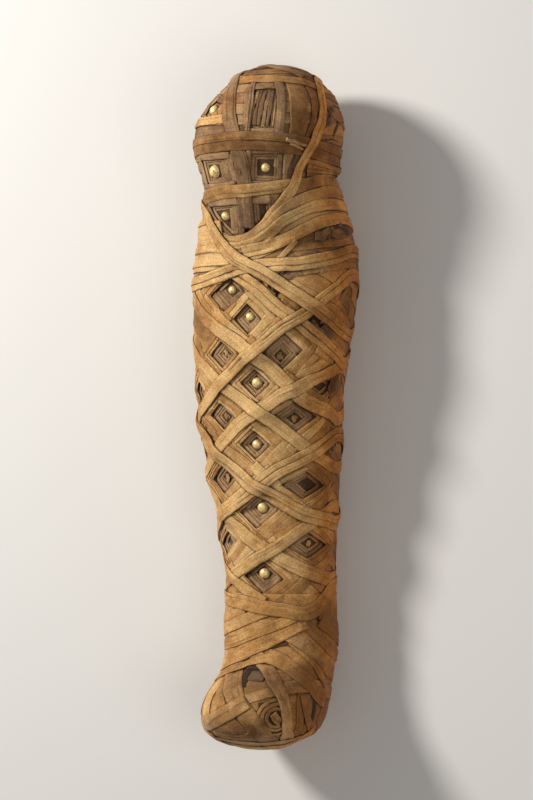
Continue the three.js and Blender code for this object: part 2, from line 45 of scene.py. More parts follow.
# The camera looks down on the mummy from a little to the right, level with its middle.
# A soft lamp stands at the upper left, a weaker one at the right, and the floor is pale.
CAMERA_TURN = math.radians(20)
CAMERA_REACH = 3.6
CAMERA_LENS = 135
CAMERA_RIGHT = Vector((math.cos(CAMERA_TURN), 0, -math.sin(CAMERA_TURN)))
CAMERA_UP = Vector((0, 1, 0))
CAMERA_BACK = Vector((math.sin(CAMERA_TURN), 0, math.cos(CAMERA_TURN)))
VIEW_SHIFT = 0.009
LOOKED_AT = Vector((0.0003, -0.0008, 0.0744)) - VIEW_SHIFT * CAMERA_RIGHT + VIEW_SHIFT * CAMERA_UP
WORLD_STRENGTH = 0.22
FLOOR_SIZE = 8
FLOOR_COLOUR = (0.78, 0.77, 0.75, 1)

camera_data = bpy.data.cameras.new("camera")
camera_data.lens = CAMERA_LENS
camera_data.sensor_width = 36
camera_data.clip_end = 20
camera = bpy.data.objects.new("camera", camera_data)
axes = Matrix((CAMERA_RIGHT, CAMERA_UP, CAMERA_BACK)).transposed()
camera.matrix_world = Matrix.Translation(LOOKED_AT + CAMERA_REACH * CAMERA_BACK) @ axes.to_4x4()
bpy.context.collection.objects.link(camera)
bpy.context.scene.camera = camera
bpy.context.scene.view_settings.view_transform = "Standard"

for name, place, size, power, colour in [
    ("key_lamp", (-1.75, 1.15, 1.75), 0.55, 72, (1.0, 0.97, 0.92)),
    ("fill_lamp", (1.6, -0.4, 2.2), 1.4, 15, (1.0, 0.93, 0.84)),
]:
    lamp_data = bpy.data.lights.new(name, "AREA")
    lamp_data.shape = "DISK"
    lamp_data.size = size
    lamp_data.energy = power
    lamp_data.color = colour
    lamp = bpy.data.objects.new(name, lamp_data)
    lamp.location = place
    lamp.rotation_euler = (LOOKED_AT - Vector(place)).to_track_quat("-Z", "Y").to_euler()
    bpy.context.collection.objects.link(lamp)

world = bpy.data.worlds.new("studio")
bpy.context.scene.world = world
world.use_nodes = True
world.node_tree.nodes["Background"].inputs["Color"].default_value = (0.90, 0.90, 0.90, 1)
world.node_tree.nodes["Background"].inputs["Strength"].default_value = WORLD_STRENGTH

bpy.ops.object.select_all(action="DESELECT")
bpy.ops.mesh.primitive_plane_add(size=FLOOR_SIZE, location=(0, 0, 0))
floor = bpy.context.object
floor.name = "floor"
floor_paint = bpy.data.materials.new("pale_floor")
floor_paint.use_nodes = True
floor_paint.node_tree.nodes["Principled BSDF"].inputs["Base Color"].default_value = FLOOR_COLOUR
floor_paint.node_tree.nodes["Principled BSDF"].inputs["Roughness"].default_value = 0.9
floor.data.materials.append(floor_paint)

# The bundle: the child's body in its first wrappings, hidden by all that follows. Its
# outer form is set by sections along the body: along, centre, half width, back, widest
# level, front. A place is [turn, along]: turn 0 the front, 90 the right, 180 the back.
BODY_SECTIONS = np.array([
    [-408, -8, 56, 66, 104, 150],
    [-392, -8, 62, 34, 96, 166],
    [-378, -8, 69, 14, 88, 182],
    [-360, -8, 72, 3, 80, 188],
    [-340, -6, 70, 1, 68, 179],
    [-322, -2, 67, 1, 58, 152],
    [-298, 1, 69, 1, 54, 120],
    [-260, 0, 70, 1, 52, 110],
    [-200, 0, 69, 0, 52, 112],
    [-122, -4, 77, 0, 56, 122],
    [-40, -7, 87, 0, 62, 136],
    [28, -8, 92, 0, 68, 147],
    [80, -5, 98, 0, 70, 152],
    [130, -1, 102, 0, 70, 152],
    [170, 0, 102, 0, 68, 149],
    [200, 0, 97, 3, 66, 152],
    [222, 0, 91, 7, 64, 163],
    [245, 0, 84, 9, 66, 176],
    [270, -3, 79, 7, 82, 188],
    [300, -3, 85, 4, 94, 193],
    [330, 0, 88, 3, 96, 190],
    [360, 5, 86, 3, 98, 184],
    [409, 12, 80, 3, 100, 176],
], dtype=float)
SOLE_END = -408.0
CROWN_END = 409.0
SOLE_ROUND_FROM = -380.0
CROWN_ROUND_FROM = 328.0
FRONT_FULLNESS = 2.2
BACK_FULLNESS = 2.7
DRAWING_ORIGIN = np.array([0.3167, -0.7682, -0.6])
REST_LEVEL = 0.6
BUNDLE_DEPTH = 12.5
ANKLE = -275
FOOT_BUNDLE_DEPTH = 15.5
BUNDLE_TURN_STEP = 7.5
BUNDLE_SPREAD = 1.5
SOLE_POLE = np.array([-8, SOLE_END, 104])
CROWN_POLE = np.array([12, CROWN_END, 100])


def smooth_curve(xs, ys, x, slope=None):
    """Smooth curve through points sorted by xs, flat at its two ends unless it has slopes."""
    if slope is None:
        slope = np.zeros(len(xs))
        slope[1:-1] = (ys[2:] - ys[:-2]) / (xs[2:] - xs[:-2])
    x = np.clip(x, xs[0], xs[-1])
    i = np.clip(np.searchsorted(xs, x, side="right") - 1, 0, len(xs) - 2)
    span = xs[i + 1] - xs[i]
    t = (x - xs[i]) / span
    leave = slope[i] * t * (1 - t) ** 2 * span
    arrive = slope[i + 1] * t * t * (t - 1) * span
    return ys[i] + (ys[i + 1] - ys[i]) * t * t * (3 - 2 * t) + leave + arrive


def section_at(along):
    columns = [smooth_curve(BODY_SECTIONS[:, 0], BODY_SECTIONS[:, k], along) for k in range(1, 6)]
    centre, width, back, level, front = columns
    return centre, width, level, level - back, front - level


def rounding_at(along):
    crown = (along - CROWN_ROUND_FROM) / (CROWN_END - CROWN_ROUND_FROM)
    sole = (SOLE_ROUND_FROM - along) / (SOLE_ROUND_FROM - SOLE_END)
    return np.maximum(np.maximum(crown, sole), 0)


def form(turn, along):
    """Points of the outer form at places on the body."""
    turn, along = np.broadcast_arrays(np.asarray(turn, float), np.asarray(along, float))
    centre, width, level, to_back, to_front = section_at(along)
    cap = np.sqrt(1 - np.clip(rounding_at(along), 0, 1) ** 2)
    sine = np.sin(np.radians(turn))
    cosine = np.cos(np.radians(turn))
    power = np.where(cosine >= 0, 2 / FRONT_FULLNESS, 2 / BACK_FULLNESS)
    reach = np.where(cosine >= 0, to_front, to_back)
    x = centre + cap * width * np.sign(sine) * np.abs(sine) ** power
    z = level + cap * reach * np.sign(cosine) * np.abs(cosine) ** power
    return np.stack([x, along, z], axis=-1)


def shares_at(point):
    """How far points lie across and up, as shares of their section, and its fullness there."""
    centre, width, level, to_back, to_front = section_at(point[..., 1])
    up = point[..., 2] - level
    fullness = np.where(up >= 0, FRONT_FULLNESS, BACK_FULLNESS)
    return (point[..., 0] - centre) / width, up / np.where(up >= 0, to_front, to_back), fullness


def form_value(point):
    """Zero on the outer form, less inside it and more outside it."""
    across, up, fullness = shares_at(point)
    radius = (np.abs(across) ** fullness + np.abs(up) ** fullness) ** (2 / fullness)
    return radius + rounding_at(point[..., 1]) ** 2 - 1


def form_gradient(point):
    reach = 0.05
    parts = []
    for axis in np.eye(3):
        ahead = form_value(point + reach * axis)
        parts.append((ahead - form_value(point - reach * axis)) / (2 * reach))
    return np.stack(parts, axis=-1)


def outwards(point):
    gradient = form_gradient(point)
    return gradient / np.linalg.norm(gradient, axis=-1, keepdims=True)


def onto_form(point):
    """Moves points that are near the outer form onto it."""
    for _ in range(7):
        gradient = form_gradient(point)
        share = form_value(point) / (gradient ** 2).sum(axis=-1)
        point = point - gradient * share[..., None]
    return point


def place_of(point):
    """Turn and along of points on the outer form."""
    across, up, fullness = shares_at(point)
    sine = np.sign(across) * np.abs(across) ** (fullness / 2)
    cosine = np.sign(up) * np.abs(up) ** (fullness / 2)
    return np.degrees(np.arctan2(sine, cosine)), point[..., 1]


def raised(point, height):
    """Points at a height over the outer form, none of them below the rest level."""
    placed = point + outwards(point) * np.asarray(height)[..., None]
    placed[..., 2] = np.maximum(placed[..., 2], REST_LEVEL)
    return placed


def ring_faces(low, high, count):
    """Quads between rings of count points, which start at the point numbers low and high."""
    near = np.arange(count)
    beside = (near + 1) % count
    low = np.reshape(low, (-1, 1))
    high = np.reshape(high, (-1, 1))
    return np.stack([low + near, high + near, high + beside, low + beside], axis=-1).reshape(-1, 4)


def fan_faces(pole, first, count):
    """Triangles between a pole and the ring that starts at the point number first."""
    near = np.arange(count)
    return np.stack([np.full(count, pole), first + near, first + (near + 1) % count], axis=-1)


def new_piece(name, vertices, faces, uvs, values):
    """Mesh object from points in millimetres, with a UV map in metres and named values."""
    corners = np.concatenate([block.ravel() for block in faces]).astype(np.int32)
    sizes = np.concatenate([np.full(len(block), block.shape[1]) for block in faces])
    starts = np.concatenate([[0], np.cumsum(sizes)[:-1]]).astype(np.int32)
    mesh = bpy.data.meshes.new(name)
    mesh.vertices.add(len(vertices))
    points = (vertices + DRAWING_ORIGIN) * MM
    mesh.vertices.foreach_set("co", points.astype(np.float32).ravel())
    mesh.loops.add(len(corners))
    mesh.loops.foreach_set("vertex_index", corners)
    mesh.polygons.add(len(sizes))
    mesh.polygons.foreach_set("loop_start", starts)
    mesh.update(calc_edges=True)
    mesh.validate()
    mesh.shade_smooth()
    layer = mesh.uv_layers.new(name="weave")
    layer.data.foreach_set("uv", (uvs[corners] * MM).astype(np.float32).ravel())
    for key, numbers in values.items():
        layer = mesh.attributes.new(key, "FLOAT", "POINT")
        layer.data.foreach_set("value", numbers.astype(np.float32))
    piece = bpy.data.objects.new(name, mesh)
    bpy.context.collection.objects.link(piece)
    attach(piece, "root")
    return piece


def new_material(name):
    material = bpy.data.materials.new(name)
    material.use_nodes = True
    return material, material.node_tree, material.node_tree.nodes["Principled BSDF"]


def add_node(tree, kind, inputs, output=0, **settings):
    """One output of a new node, whose inputs are numbers or the outputs of other nodes."""
    node = tree.nodes.new("ShaderNode" + kind)
    for key, value in settings.items():
        setattr(node, key, value)
    for key, value in inputs.items():
        if isinstance(value, bpy.types.NodeSocket):
            tree.links.new(value, node.inputs[key])
        else:
            node.inputs[key].default_value = value
    return node.outputs[output]


# Each linen has a light, a deep and a darkest colour, and says how streaky its threads are.
LINENS = {
    "pale_linen": [(0.74, 0.47, 0.20), (0.49, 0.25, 0.082), (0.24, 0.115, 0.035), 0.68],
    "warm_linen": [(0.62, 0.385, 0.17), (0.38, 0.20, 0.075), (0.18, 0.08, 0.024), 0.6],
    "grey_linen": [(0.48, 0.295, 0.145), (0.245, 0.137, 0.065), (0.11, 0.06, 0.03), 0.7],
    "dark_linen": [(0.17, 0.098, 0.056), (0.085, 0.042, 0.022), (0.05, 0.025, 0.014), 0.7],
}
# This tint darkens and browns the right side as painted shade, and the brow as resin.
UNTINTED = (1.0, 1.0, 1.0, 1)
SHADE_AND_RESIN_TINT = (1.12, 0.80, 0.46, 1)
# Dirt colour, which also serves as painted shade beside raised edges, under strip rims and at fold feet.
LINEN_DIRT_AND_SHADE = (0.062, 0.026, 0.011, 1)
THREAD_PITCH = 0.0009
STAIN_SCALE = 22
PATCH_SCALE = 95
SPOT_SCALE = 210
DRAWN_OUT = (420, 16, 1)
LONG_FIBRES = (1300, 60, 1)
CROSS_FIBRES = (90, 1200, 1)
GRAIN = (560, 440, 1)


def linen(name, light, deep, darkest, streaks):
    """Old linen: uneven stain, drawn-out fibres, a plain weave, dirt spots, and painted shade in its folds,
    along its edges, beside raised edges and on the right side.
    """
    light, deep, darkest = ((*colour, 1) for colour in (light, deep, darkest))
    material, tree, shader = new_material(name)
    shader.inputs["Roughness"].default_value = 0.93
    shader.inputs["Specular IOR Level"].default_value = 0.18
    shader.inputs["Sheen Weight"].default_value = 0.08

    def value_of(attribute):
        return add_node(tree, "Attribute", {}, "Fac", attribute_name=attribute)

    def product(first, second):
        return add_node(tree, "Math", {0: first, 1: second}, operation="MULTIPLY")

    def total(first, second):
        return add_node(tree, "Math", {0: first, 1: second}, operation="ADD")

    def noise(vector, scale, detail, roughness, distortion=0.0):
        return add_node(tree, "TexNoise", {"Vector": vector, "Scale": scale, "Detail": detail,
                                           "Roughness": roughness, "Distortion": distortion},
                        "Fac")

    def thread_noise(stretch, detail, roughness):
        stretched = add_node(tree, "Mapping", {"Vector": cloth, "Scale": stretch}, "Vector")
        return noise(stretched, 1.0, detail, roughness)

    def spread(value, low, high, to_low=0.0, to_high=1.0):
        return add_node(tree, "MapRange", {"Value": value, "From Min": low, "From Max": high,
                                           "To Min": to_low, "To Max": to_high}, "Result")

    def mix(share, first, second, mode="MIX"):
        return add_node(tree, "Mix", {0: share, 6: first, 7: second}, 2,
                        data_type="RGBA", blend_type=mode)

    def threads_of_weave(direction):
        return add_node(tree, "TexWave", {"Vector": cloth, "Scale": math.pi / 10 / THREAD_PITCH,
                                          "Distortion": 1.6, "Detail": 1.0, "Detail Scale": 0.35},
                        "Fac", bands_direction=direction)

    place = add_node(tree, "TexCoord", {}, "Object")
    cloth = add_node(tree, "UVMap", {}, "UV", uv_map="weave")
    blotch = noise(place, STAIN_SCALE, 4, 0.55)
    patches = noise(place, PATCH_SCALE, 3, 0.6, 0.4)
    drawn_out = thread_noise(DRAWN_OUT, 3, 0.65)
    threads = total(product(thread_noise(LONG_FIBRES, 4, 0.62), 0.5),
                    product(thread_noise(CROSS_FIBRES, 3, 0.6), 0.5))
    depth = total(spread(blotch, 0.36, 0.66), product(value_of("tone"), -1.0))
    depth = total(depth, spread(patches, 0.35, 0.7, -0.34, 0.36))
    colour = mix(spread(depth, 0.0, 1.0), light, deep)
    colour = mix(spread(depth, 1.0, 2.0), colour, darkest)
    uneven = total(product(drawn_out, 0.20), product(threads, 0.28))
    uneven = total(uneven, product(thread_noise(GRAIN, 3, 0.75), 0.52))
    shade = spread(uneven, 0.40, 0.60, 1.0 - 0.60 * streaks, 1.0 + 0.44 * streaks)
    shade = add_node(tree, "CombineColor", {0: shade, 1: shade, 2: shade})
    colour = mix(1.0, colour, shade, "MULTIPLY")
    spots = spread(noise(place, SPOT_SCALE, 2, 0.7, 0.8), 0.62, 0.74, 0.0, 0.55)
    colour = mix(product(spots, spread(blotch, 0.4, 0.6)), colour, LINEN_DIRT_AND_SHADE)
    # Painted shade: the right side, away from the lamp, takes a darker, browner tint, and the brow takes it
    # as resin.
    colour = mix(1.0, colour, mix(value_of("side_shade_and_resin"), UNTINTED, SHADE_AND_RESIN_TINT), "MULTIPLY")
    # Painted shadow lines with dirt: the outer lanes of each strip darken towards the deep colour, and its
    # dark rim and the foot of each fold take the dirt colour.
    hem = value_of("hem")
    colour = mix(spread(hem, 0.86, 1.0, 0.0, 0.28), colour, deep)
    colour = mix(spread(hem, 1.05, 1.5, 0.0, 0.93), colour, LINEN_DIRT_AND_SHADE)
    # Painted shade: the linen darkens towards the dirt colour where a raised edge stands over it.
    recess_shade = product(spread(value_of("recess_shade"), 0.12, 0.95, 0.0, 0.92),
                    spread(patches, 0.3, 0.7, 0.8, 1.15))
    recess_shade = add_node(tree, "Math", {0: recess_shade, 1: 0.95}, operation="MINIMUM")
    tree.links.new(mix(recess_shade, colour, LINEN_DIRT_AND_SHADE), shader.inputs["Base Color"])

    weave = product(threads_of_weave("X"), threads_of_weave("Y"))
    relief = total(product(weave, 0.28), product(threads, 1.1))
    relief = total(relief, product(patches, 0.3))
    bump = add_node(tree, "Bump", {"Height": relief, "Strength": 0.55, "Distance": 0.0007}, "Normal")
    tree.links.new(bump, shader.inputs["Normal"])
    return material


finish_of = {name: linen(name, *look) for name, look in LINENS.items()}

bundle_along = np.concatenate([
    np.linspace(SOLE_END + 6, -378, 7),
    np.linspace(-366, 320, 58),
    np.linspace(332, CROWN_END - 3, 14),
])
turn_grid, along_grid = np.meshgrid(np.arange(-180, 180, BUNDLE_TURN_STEP), bundle_along)
rows, ring = turn_grid.shape
starts = np.arange(rows) * ring
bundle_depth = np.interp(along_grid, [ANKLE - 12, ANKLE + 6], [FOOT_BUNDLE_DEPTH, BUNDLE_DEPTH])
bundle_points = np.concatenate([
    raised(form(turn_grid, along_grid), -bundle_depth).reshape(-1, 3),
    [SOLE_POLE + [0, FOOT_BUNDLE_DEPTH, 0], CROWN_POLE - [0, BUNDLE_DEPTH, 0]],
])
bundle_faces = [
    ring_faces(starts[:-1], starts[1:], ring)[:, [0, 3, 2, 1]],
    fan_faces(rows * ring, 0, ring)[:, [0, 2, 1]],
    fan_faces(rows * ring + 1, starts[-1], ring),
]
bundle_uv = np.stack([bundle_points[:, 0] * BUNDLE_SPREAD, bundle_points[:, 1]], axis=-1)
plain = np.zeros(len(bundle_points))
bundle = new_piece("body_bundle", bundle_points, bundle_faces, bundle_uv,
                   {"tone": plain, "hem": plain, "recess_shade": plain})
bundle.data.materials.append(finish_of["warm_linen"])
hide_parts("wrapped_body")

# The inner cloths: a shroud around the body, one cloth over the head and one around the
# feet. They are plain brown linen, laid close with small wrinkles, and show as the floor
# of every coffer. What is laid later finds its height from the map of what lies below.
TURN_CELL = 0.25
ALONG_CELL = 0.5
LOWEST_ALONG = -412.0
HIGHEST_ALONG = 412.0
MAP_STEP = 0.45
SHROUD_HEIGHT = -9.6
HEAD_CLOTH_HEIGHT = -8.0
FOOT_CLOTH_HEIGHT = -5.4
HEAD_CLOTH_FROM = 196
FOOT_CLOTH_TO = -290
COVER_LINEN = 0.8
COVER_TURN_STEP = 2.5
COVER_WRINKLE = 0.35
COVER_RADIUS = 80
laid_map = np.full((int((HIGHEST_ALONG - LOWEST_ALONG) / ALONG_CELL) + 1, int(360 / TURN_CELL)),
                   SHROUD_HEIGHT, dtype=np.float32)
map_along = LOWEST_ALONG + ALONG_CELL * np.arange(laid_map.shape[0])
laid_map[map_along > HEAD_CLOTH_FROM] = HEAD_CLOTH_HEIGHT
laid_map[map_along < FOOT_CLOTH_TO] = FOOT_CLOTH_HEIGHT
cloth_pieces = []


def laid_at(turn, along, laid):
    """Height of what has been laid so far, over the outer form."""
    column = (np.asarray(turn) + 180) / TURN_CELL
    row = np.clip((np.asarray(along) - LOWEST_ALONG) / ALONG_CELL, 0, laid.shape[0] - 1.001)
    left = np.floor(column).astype(int)
    low = np.floor(row).astype(int)
    across = column - left
    up = row - low
    left %= laid.shape[1]
    right = (left + 1) % laid.shape[1]
    lower = laid[low, left] * (1 - across) + laid[low, right] * across
    upper = laid[low + 1, left] * (1 - across) + laid[low + 1, right] * across
    return lower * (1 - up) + upper * up


def sampled(grid, rows, columns, eased=False):
    """Values of a grid between its rows and columns."""
    for positions in (rows, columns):
        low = np.clip(positions.astype(int), 0, grid.shape[0] - 2)
        part = positions - low
        part = (part * part * (3 - 2 * part) if eased else part)[:, None]
        grid = (grid[low] * (1 - part) + grid[low + 1] * part).T
    return grid


def raise_map(turn, along, height, spacing):
    """Raises the map to the top of a strip that is given as a grid of places."""
    turn = np.degrees(np.unwrap(np.unwrap(np.radians(turn), axis=0), axis=1))
    finer = [np.linspace(0, size - 1, (size - 1) * max(1, math.ceil(gap / MAP_STEP)) + 1)
             for size, gap in zip(turn.shape, spacing)]
    turn, along, height = (sampled(grid, *finer) for grid in (turn, along, height))
    column = np.round((turn + 180) / TURN_CELL).astype(int) % laid_map.shape[1]
    row = np.clip(np.round((along - LOWEST_ALONG) / ALONG_CELL).astype(int), 0, laid_map.shape[0] - 1)
    np.maximum.at(laid_map, (row, column), height.astype(np.float32))


def even_noise(chance, rows, columns, row_scale, column_scale, closed=False):
    """Smooth random grid, about -1 to 1. The scales are cells between random numbers."""
    row_knots = max(3, round(rows / row_scale))
    column_knots = max(2, math.ceil(columns / column_scale) + 1)
    knots = chance.uniform(-1, 1, (row_knots, column_knots))
    if closed:
        knots = np.concatenate([knots[-1:], knots, knots[:2]])
        at_row = np.arange(rows) / rows * row_knots + 1
    else:
        knots = np.concatenate([knots[:1], knots, knots[-1:]])
        at_row = np.arange(rows) / max(1, rows - 1) * (row_knots - 1) + 1
    knots = np.concatenate([knots[:, :1], knots, knots[:, -1:]], axis=1)
    at_column = np.arange(columns) / max(1, columns - 1) * (column_knots - 1) + 1
    return sampled(knots, at_row, at_column, eased=True)


def finish_cloth(piece, slot, replaced):
    """Gives a cloth piece its linen, hides the solid that it replaces and keeps it for the last pass."""
    piece.data.materials.append(finish_of[slot])
    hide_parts(replaced)
    cloth_pieces.append(piece)
    return piece


def wrap_cloth(name, slot, replaced, along_places, height, seed, end=None, tone=-0.1):
    """Closed cloth around the body. It ends in a pole on the crown or sole where end is given."""
    chance = np.random.default_rng(seed)
    turn, along = np.meshgrid(np.arange(-180, 180, COVER_TURN_STEP), along_places)
    rows, count = turn.shape
    wrinkles = even_noise(chance, count, rows, 4, 9, closed=True).T
    wrinkles = wrinkles + 0.6 * even_noise(chance, count, rows, 2, 4, closed=True).T
    outline = form(turn, along)
    outer_height = height + COVER_WRINKLE * wrinkles
    points = [raised(outline, outer_height - drop).reshape(-1, 3) for drop in (0, COVER_LINEN)]
    starts = np.arange(rows) * count
    sheet = ring_faces(starts[:-1], starts[1:], count)[:, [0, 3, 2, 1]]
    faces = [sheet, sheet[:, ::-1] + rows * count]
    for first in {"crown": [0], "sole": [starts[-1]]}.get(end, [0, starts[-1]]):
        rim = ring_faces(first, first + rows * count, count)
        faces.append(rim if first == 0 else rim[:, ::-1])
    if end:
        first = starts[-1] if end == "crown" else 0
        middle = CROWN_POLE if end == "crown" else SOLE_POLE
        inwards = -1 if end == "crown" else 1
        pole = 2 * rows * count
        points.append(middle + [[0, -inwards * height, 0], [0, inwards * (COVER_LINEN - height), 0]])
        fan = fan_faces(pole, first, count)
        if end == "sole":
            fan = fan[:, ::-1]
        faces += [fan, np.where(fan == pole, pole + 1, fan + rows * count)[:, ::-1]]
    points = np.concatenate(points)
    place = {key: np.concatenate([grid.ravel(), grid.ravel(), np.zeros(2 if end else 0)])
             for key, grid in (("turn", turn), ("along", along))}
    uv = np.stack([points[:, 1], np.radians(place["turn"]) * COVER_RADIUS], axis=-1)
    values = {"tone": np.full(len(points), tone), "hem": np.zeros(len(points)), **place,
              "height": np.full(len(points), height)}
    piece = new_piece(name, points, faces, uv, values)
    covered = (map_along >= min(along_places)) & (map_along <= max(along_places))
    laid_map[covered] = np.maximum(laid_map[covered], height)
    return finish_cloth(piece, slot, replaced)


def crown_rows(angles):
    """Along of rows on the rounding of the crown, at angles from its start."""
    return CROWN_ROUND_FROM + (CROWN_END - CROWN_ROUND_FROM) * np.sin(np.radians(angles))


sole_rows = SOLE_ROUND_FROM + (SOLE_END - SOLE_ROUND_FROM) * np.sin(np.radians(np.arange(86, 0, -6)))
shroud = wrap_cloth("shroud_cloth", "dark_linen", "body_shroud", np.arange(-292, 200, 4.0),
                    SHROUD_HEIGHT, seed=11)
head_rows = np.concatenate([np.arange(192, 328, 4.0), crown_rows(np.arange(0, 88, 4))])
head_cloth = wrap_cloth("head_shroud_cloth", "dark_linen", "head_cloth", head_rows,
                        HEAD_CLOTH_HEIGHT, seed=12, end="crown")
foot_rows = np.concatenate([sole_rows, np.arange(-380, -286, 4.0)])
foot_cloth = wrap_cloth("foot_shroud_cloth", "dark_linen", "foot_cloth", foot_rows,
                        FOOT_CLOTH_HEIGHT, seed=13, end="sole")

# The coffers: under the outer turns every opening steps down to the shroud in nested
# frames of narrow folded strips, each frame smaller than the one above it. A coffer is
# [turn, along, slope of its rising strips, slope of its falling strips] and then the
# distances of its strips from its middle: upper left, upper right, lower right, lower left.
BODY_COFFERS = [
    [-15, 140, 38, -41, [9, 13], [7, 11], [8, 12, 16], [6.5, 10, 14, 19, 25]],
    [-1, 107, 45, -45, [6, 9, 12], [6, 9.5], [6.5, 10, 13.5], [5.5, 8.5, 11.5, 15]],
    [-17, 63, 42, -40, [4.5, 7.5, 10.5, 14], [5, 8.5], [5, 8.5], [4.5, 8, 11.5, 15]],
    [22, 60, 42, -42, [6, 9.5, 13, 16.5], [6, 10, 14, 18.5, 23], [6, 9.5, 13], [5.5, 9, 12.5]],
    [5, 28, 42, -44, [7, 10, 13], [7.5, 11.5], [7.5, 11.5], [7, 10, 13]],
    [-53, 18, 35, -40, [4, 7.5, 11], [5, 8.5], [5, 8], [4, 7.5, 11]],
    [63, 24, 30, -24, [6, 9.5, 13], [7, 11], [5, 8.5], [5, 8.5]],
    [-21, -12, 40, -40, [6, 9, 12, 15.5], [6.5, 10], [6.5, 10], [5.5, 9, 12.5]],
    [35, -14, 33, -34, [6.5, 10, 13.5, 17], [6.5, 10, 13.5, 17], [6.5, 10, 13.5], [6, 9.5, 13, 16.5]],
    [2, -45, 42, -43, [7, 10, 13], [7.5, 12], [7.5, 12], [7, 10, 13]],
    [-67, -58, 35, -35, [5, 8.5], [5, 8.5], [5, 8.5], [5, 8.5]],
    [-29, -85, 38, -38, [7, 10.5, 14], [7.5, 11], [7, 11], [6.5, 10, 13.5, 18]],
    [48, -92, 27, -32, [7.5, 11, 14.5], [7.5, 11], [8, 12], [7.5, 11, 14.5, 18]],
    [2, -120, 38, -42, [7, 10, 13], [7, 11, 15], [7.5, 11, 15], [7, 10, 13.5, 18, 23]],
    [-45, -163, 33, -38, [5, 8.5], [4.5, 8, 11.5, 15], [5, 8.5], [4.5, 8, 11.5, 15]],
    [50, -162, 27, -28, [6, 9.5, 13], [6.5, 10], [6.5, 10, 14], [6, 9.5, 13, 17]],
    [-1, -198, 33, -40, [7.5, 11], [7.5, 11.5], [7.5, 11, 14.5, 19.5], [7.5, 11, 14.5, 19]],
]
EMPTY_COFFERS = (2, 3, 5, 7, 8, 11, 15)
GROUND_HEIGHT = -5.2
FRAME_LINEN = 0.95
OUTER_FRAME_LINEN = 0.6
FRAME_STRIP_MARGIN = 3.5
FRAME_OVERLAP = 2.0
FRAME_END = 3.5
FRAME_STAGGER = 0.35
FRAME_REACH = 50.0
FRAME_STEP = 2.4
# Rows of strips round a coffer: their widths on its left and on its right, and their reach.
OUTER_ROWS = [[(4.5, 7.0), (7.0, 11.0), (6, 11)], [(5.0, 9.0), (9.0, 14.0), (15, 23)],
              [(8.0, 12.0), (10.0, 15.0), (26, 36)]]
STRIP_LINEN = 1.0
# Each strip has a rim, a dark flange of its inner face out past its edges, and each fold a line at its foot:
# painted shadow lines with dirt.
RIM_WIDTH = 0.75
RIM_LIFT = 0.12
RIM_SHADE_MARK = 1.55
FOLD_HALF_STEP = 0.03
FOLD_SHADE_MARK = 1.45
FOLD_STEPS = (0.3, 0.55)
ROUNDED_FROM = 0.86
ROUNDED_OFF = 0.22
FINE_RELIEF = 0.09
BROAD_RELIEF = 0.08
LONG_FRAY = 1.6
RIM_UNEVEN = 0.6
TONE_UNEVEN = 0.12
LEAST_SHARE = 0.3
SHARES_ACROSS = 17
CLEAR_WITHIN = 60
NEAR_ALONG = 0.9
NEAR_TURN = NEAR_ALONG / 1.5
# How far apart along a strip the random values lie that make it uneven, in millimetres.
EDGE_WAVE = 5
RIM_WAVE = 7
FINE_WAVE = 10
RIM_SHADE_WAVE = 16
BROAD_WAVE = 26
FOLD_WAVE = 30
LANES = np.array([-1, -0.9, -0.68, -0.35, 0, 0.35, 0.68, 0.9, 1])
NARROW_LANES = np.array([-1, -0.84, -0.4, 0.4, 0.84, 1])


def tangent_axes(centre):
    """Rightward and upward directions of the form at a point."""
    out = outwards(centre)
    right = np.cross([0, 1, 0], out)
    right = right / np.linalg.norm(right)
    return right, np.cross(out, right)


def run_along(points):
    """Distance of each point from the first, along the line through them."""
    return np.concatenate([[0], np.cumsum(np.linalg.norm(np.diff(points, axis=0), axis=1))])


def along_path(path, spacing, closed=False):
    """Evenly spaced points of the form along a path of places."""
    path = np.array(path, dtype=float)
    if closed:
        xs = np.concatenate([[path[-1, 0] - 360], path[:, 0], [path[0, 0] + 360]])
        ys = np.concatenate([[path[-1, 1]], path[:, 1], [path[0, 1]]])
        turn = np.linspace(path[0, 0], path[0, 0] + 360, 1441)
        points = form(turn, smooth_curve(xs, ys, turn))
    else:
        corners = form(path[:, 0], path[:, 1])
        reach = run_along(corners)
        fine = np.linspace(0, reach[-1], 400)
        columns = [smooth_curve(reach, column, fine, np.gradient(column, reach)) for column in corners.T]
        points = onto_form(np.stack(columns, axis=-1))
    length = run_along(points)
    count = max(3, round(length[-1] / spacing) + (0 if closed else 1))
    wanted = np.linspace(0, length[-1], count, endpoint=not closed)
    return np.stack([np.interp(wanted, length, column) for column in points.T], axis=-1)


def openings(coffers, margin=0.0):
    """Middle, side directions and side distances of each coffer's outermost frame."""
    found = []
    for turn, along, sides in coffers:
        middle = form(turn, along)
        right, up = tangent_axes(middle)
        normals = [math.cos(math.radians(a)) * right + math.sin(math.radians(a)) * up for a, _ in sides]
        found.append((middle, np.array(normals), np.array([gaps[-1] for _, gaps in sides]) + margin))
    return found


def in_openings(points, found):
    inside = np.zeros(points.shape[:-1], dtype=bool)
    for middle, normals, reaches in found:
        away = points - middle
        near = (away ** 2).sum(axis=-1) < CLEAR_WITHIN ** 2
        inside |= near & np.all(away @ normals.T < reaches, axis=-1)
    return inside


def crossways(centre, closed):
    """Unit directions across a strip, at the points of its middle line."""
    tangent = np.roll(centre, -1, axis=0) - np.roll(centre, 1, axis=0)
    if not closed:
        tangent[0] = centre[1] - centre[0]
        tangent[-1] = centre[-1] - centre[-2]
    across = np.cross(outwards(centre), tangent)
    return across / np.linalg.norm(across, axis=-1, keepdims=True)


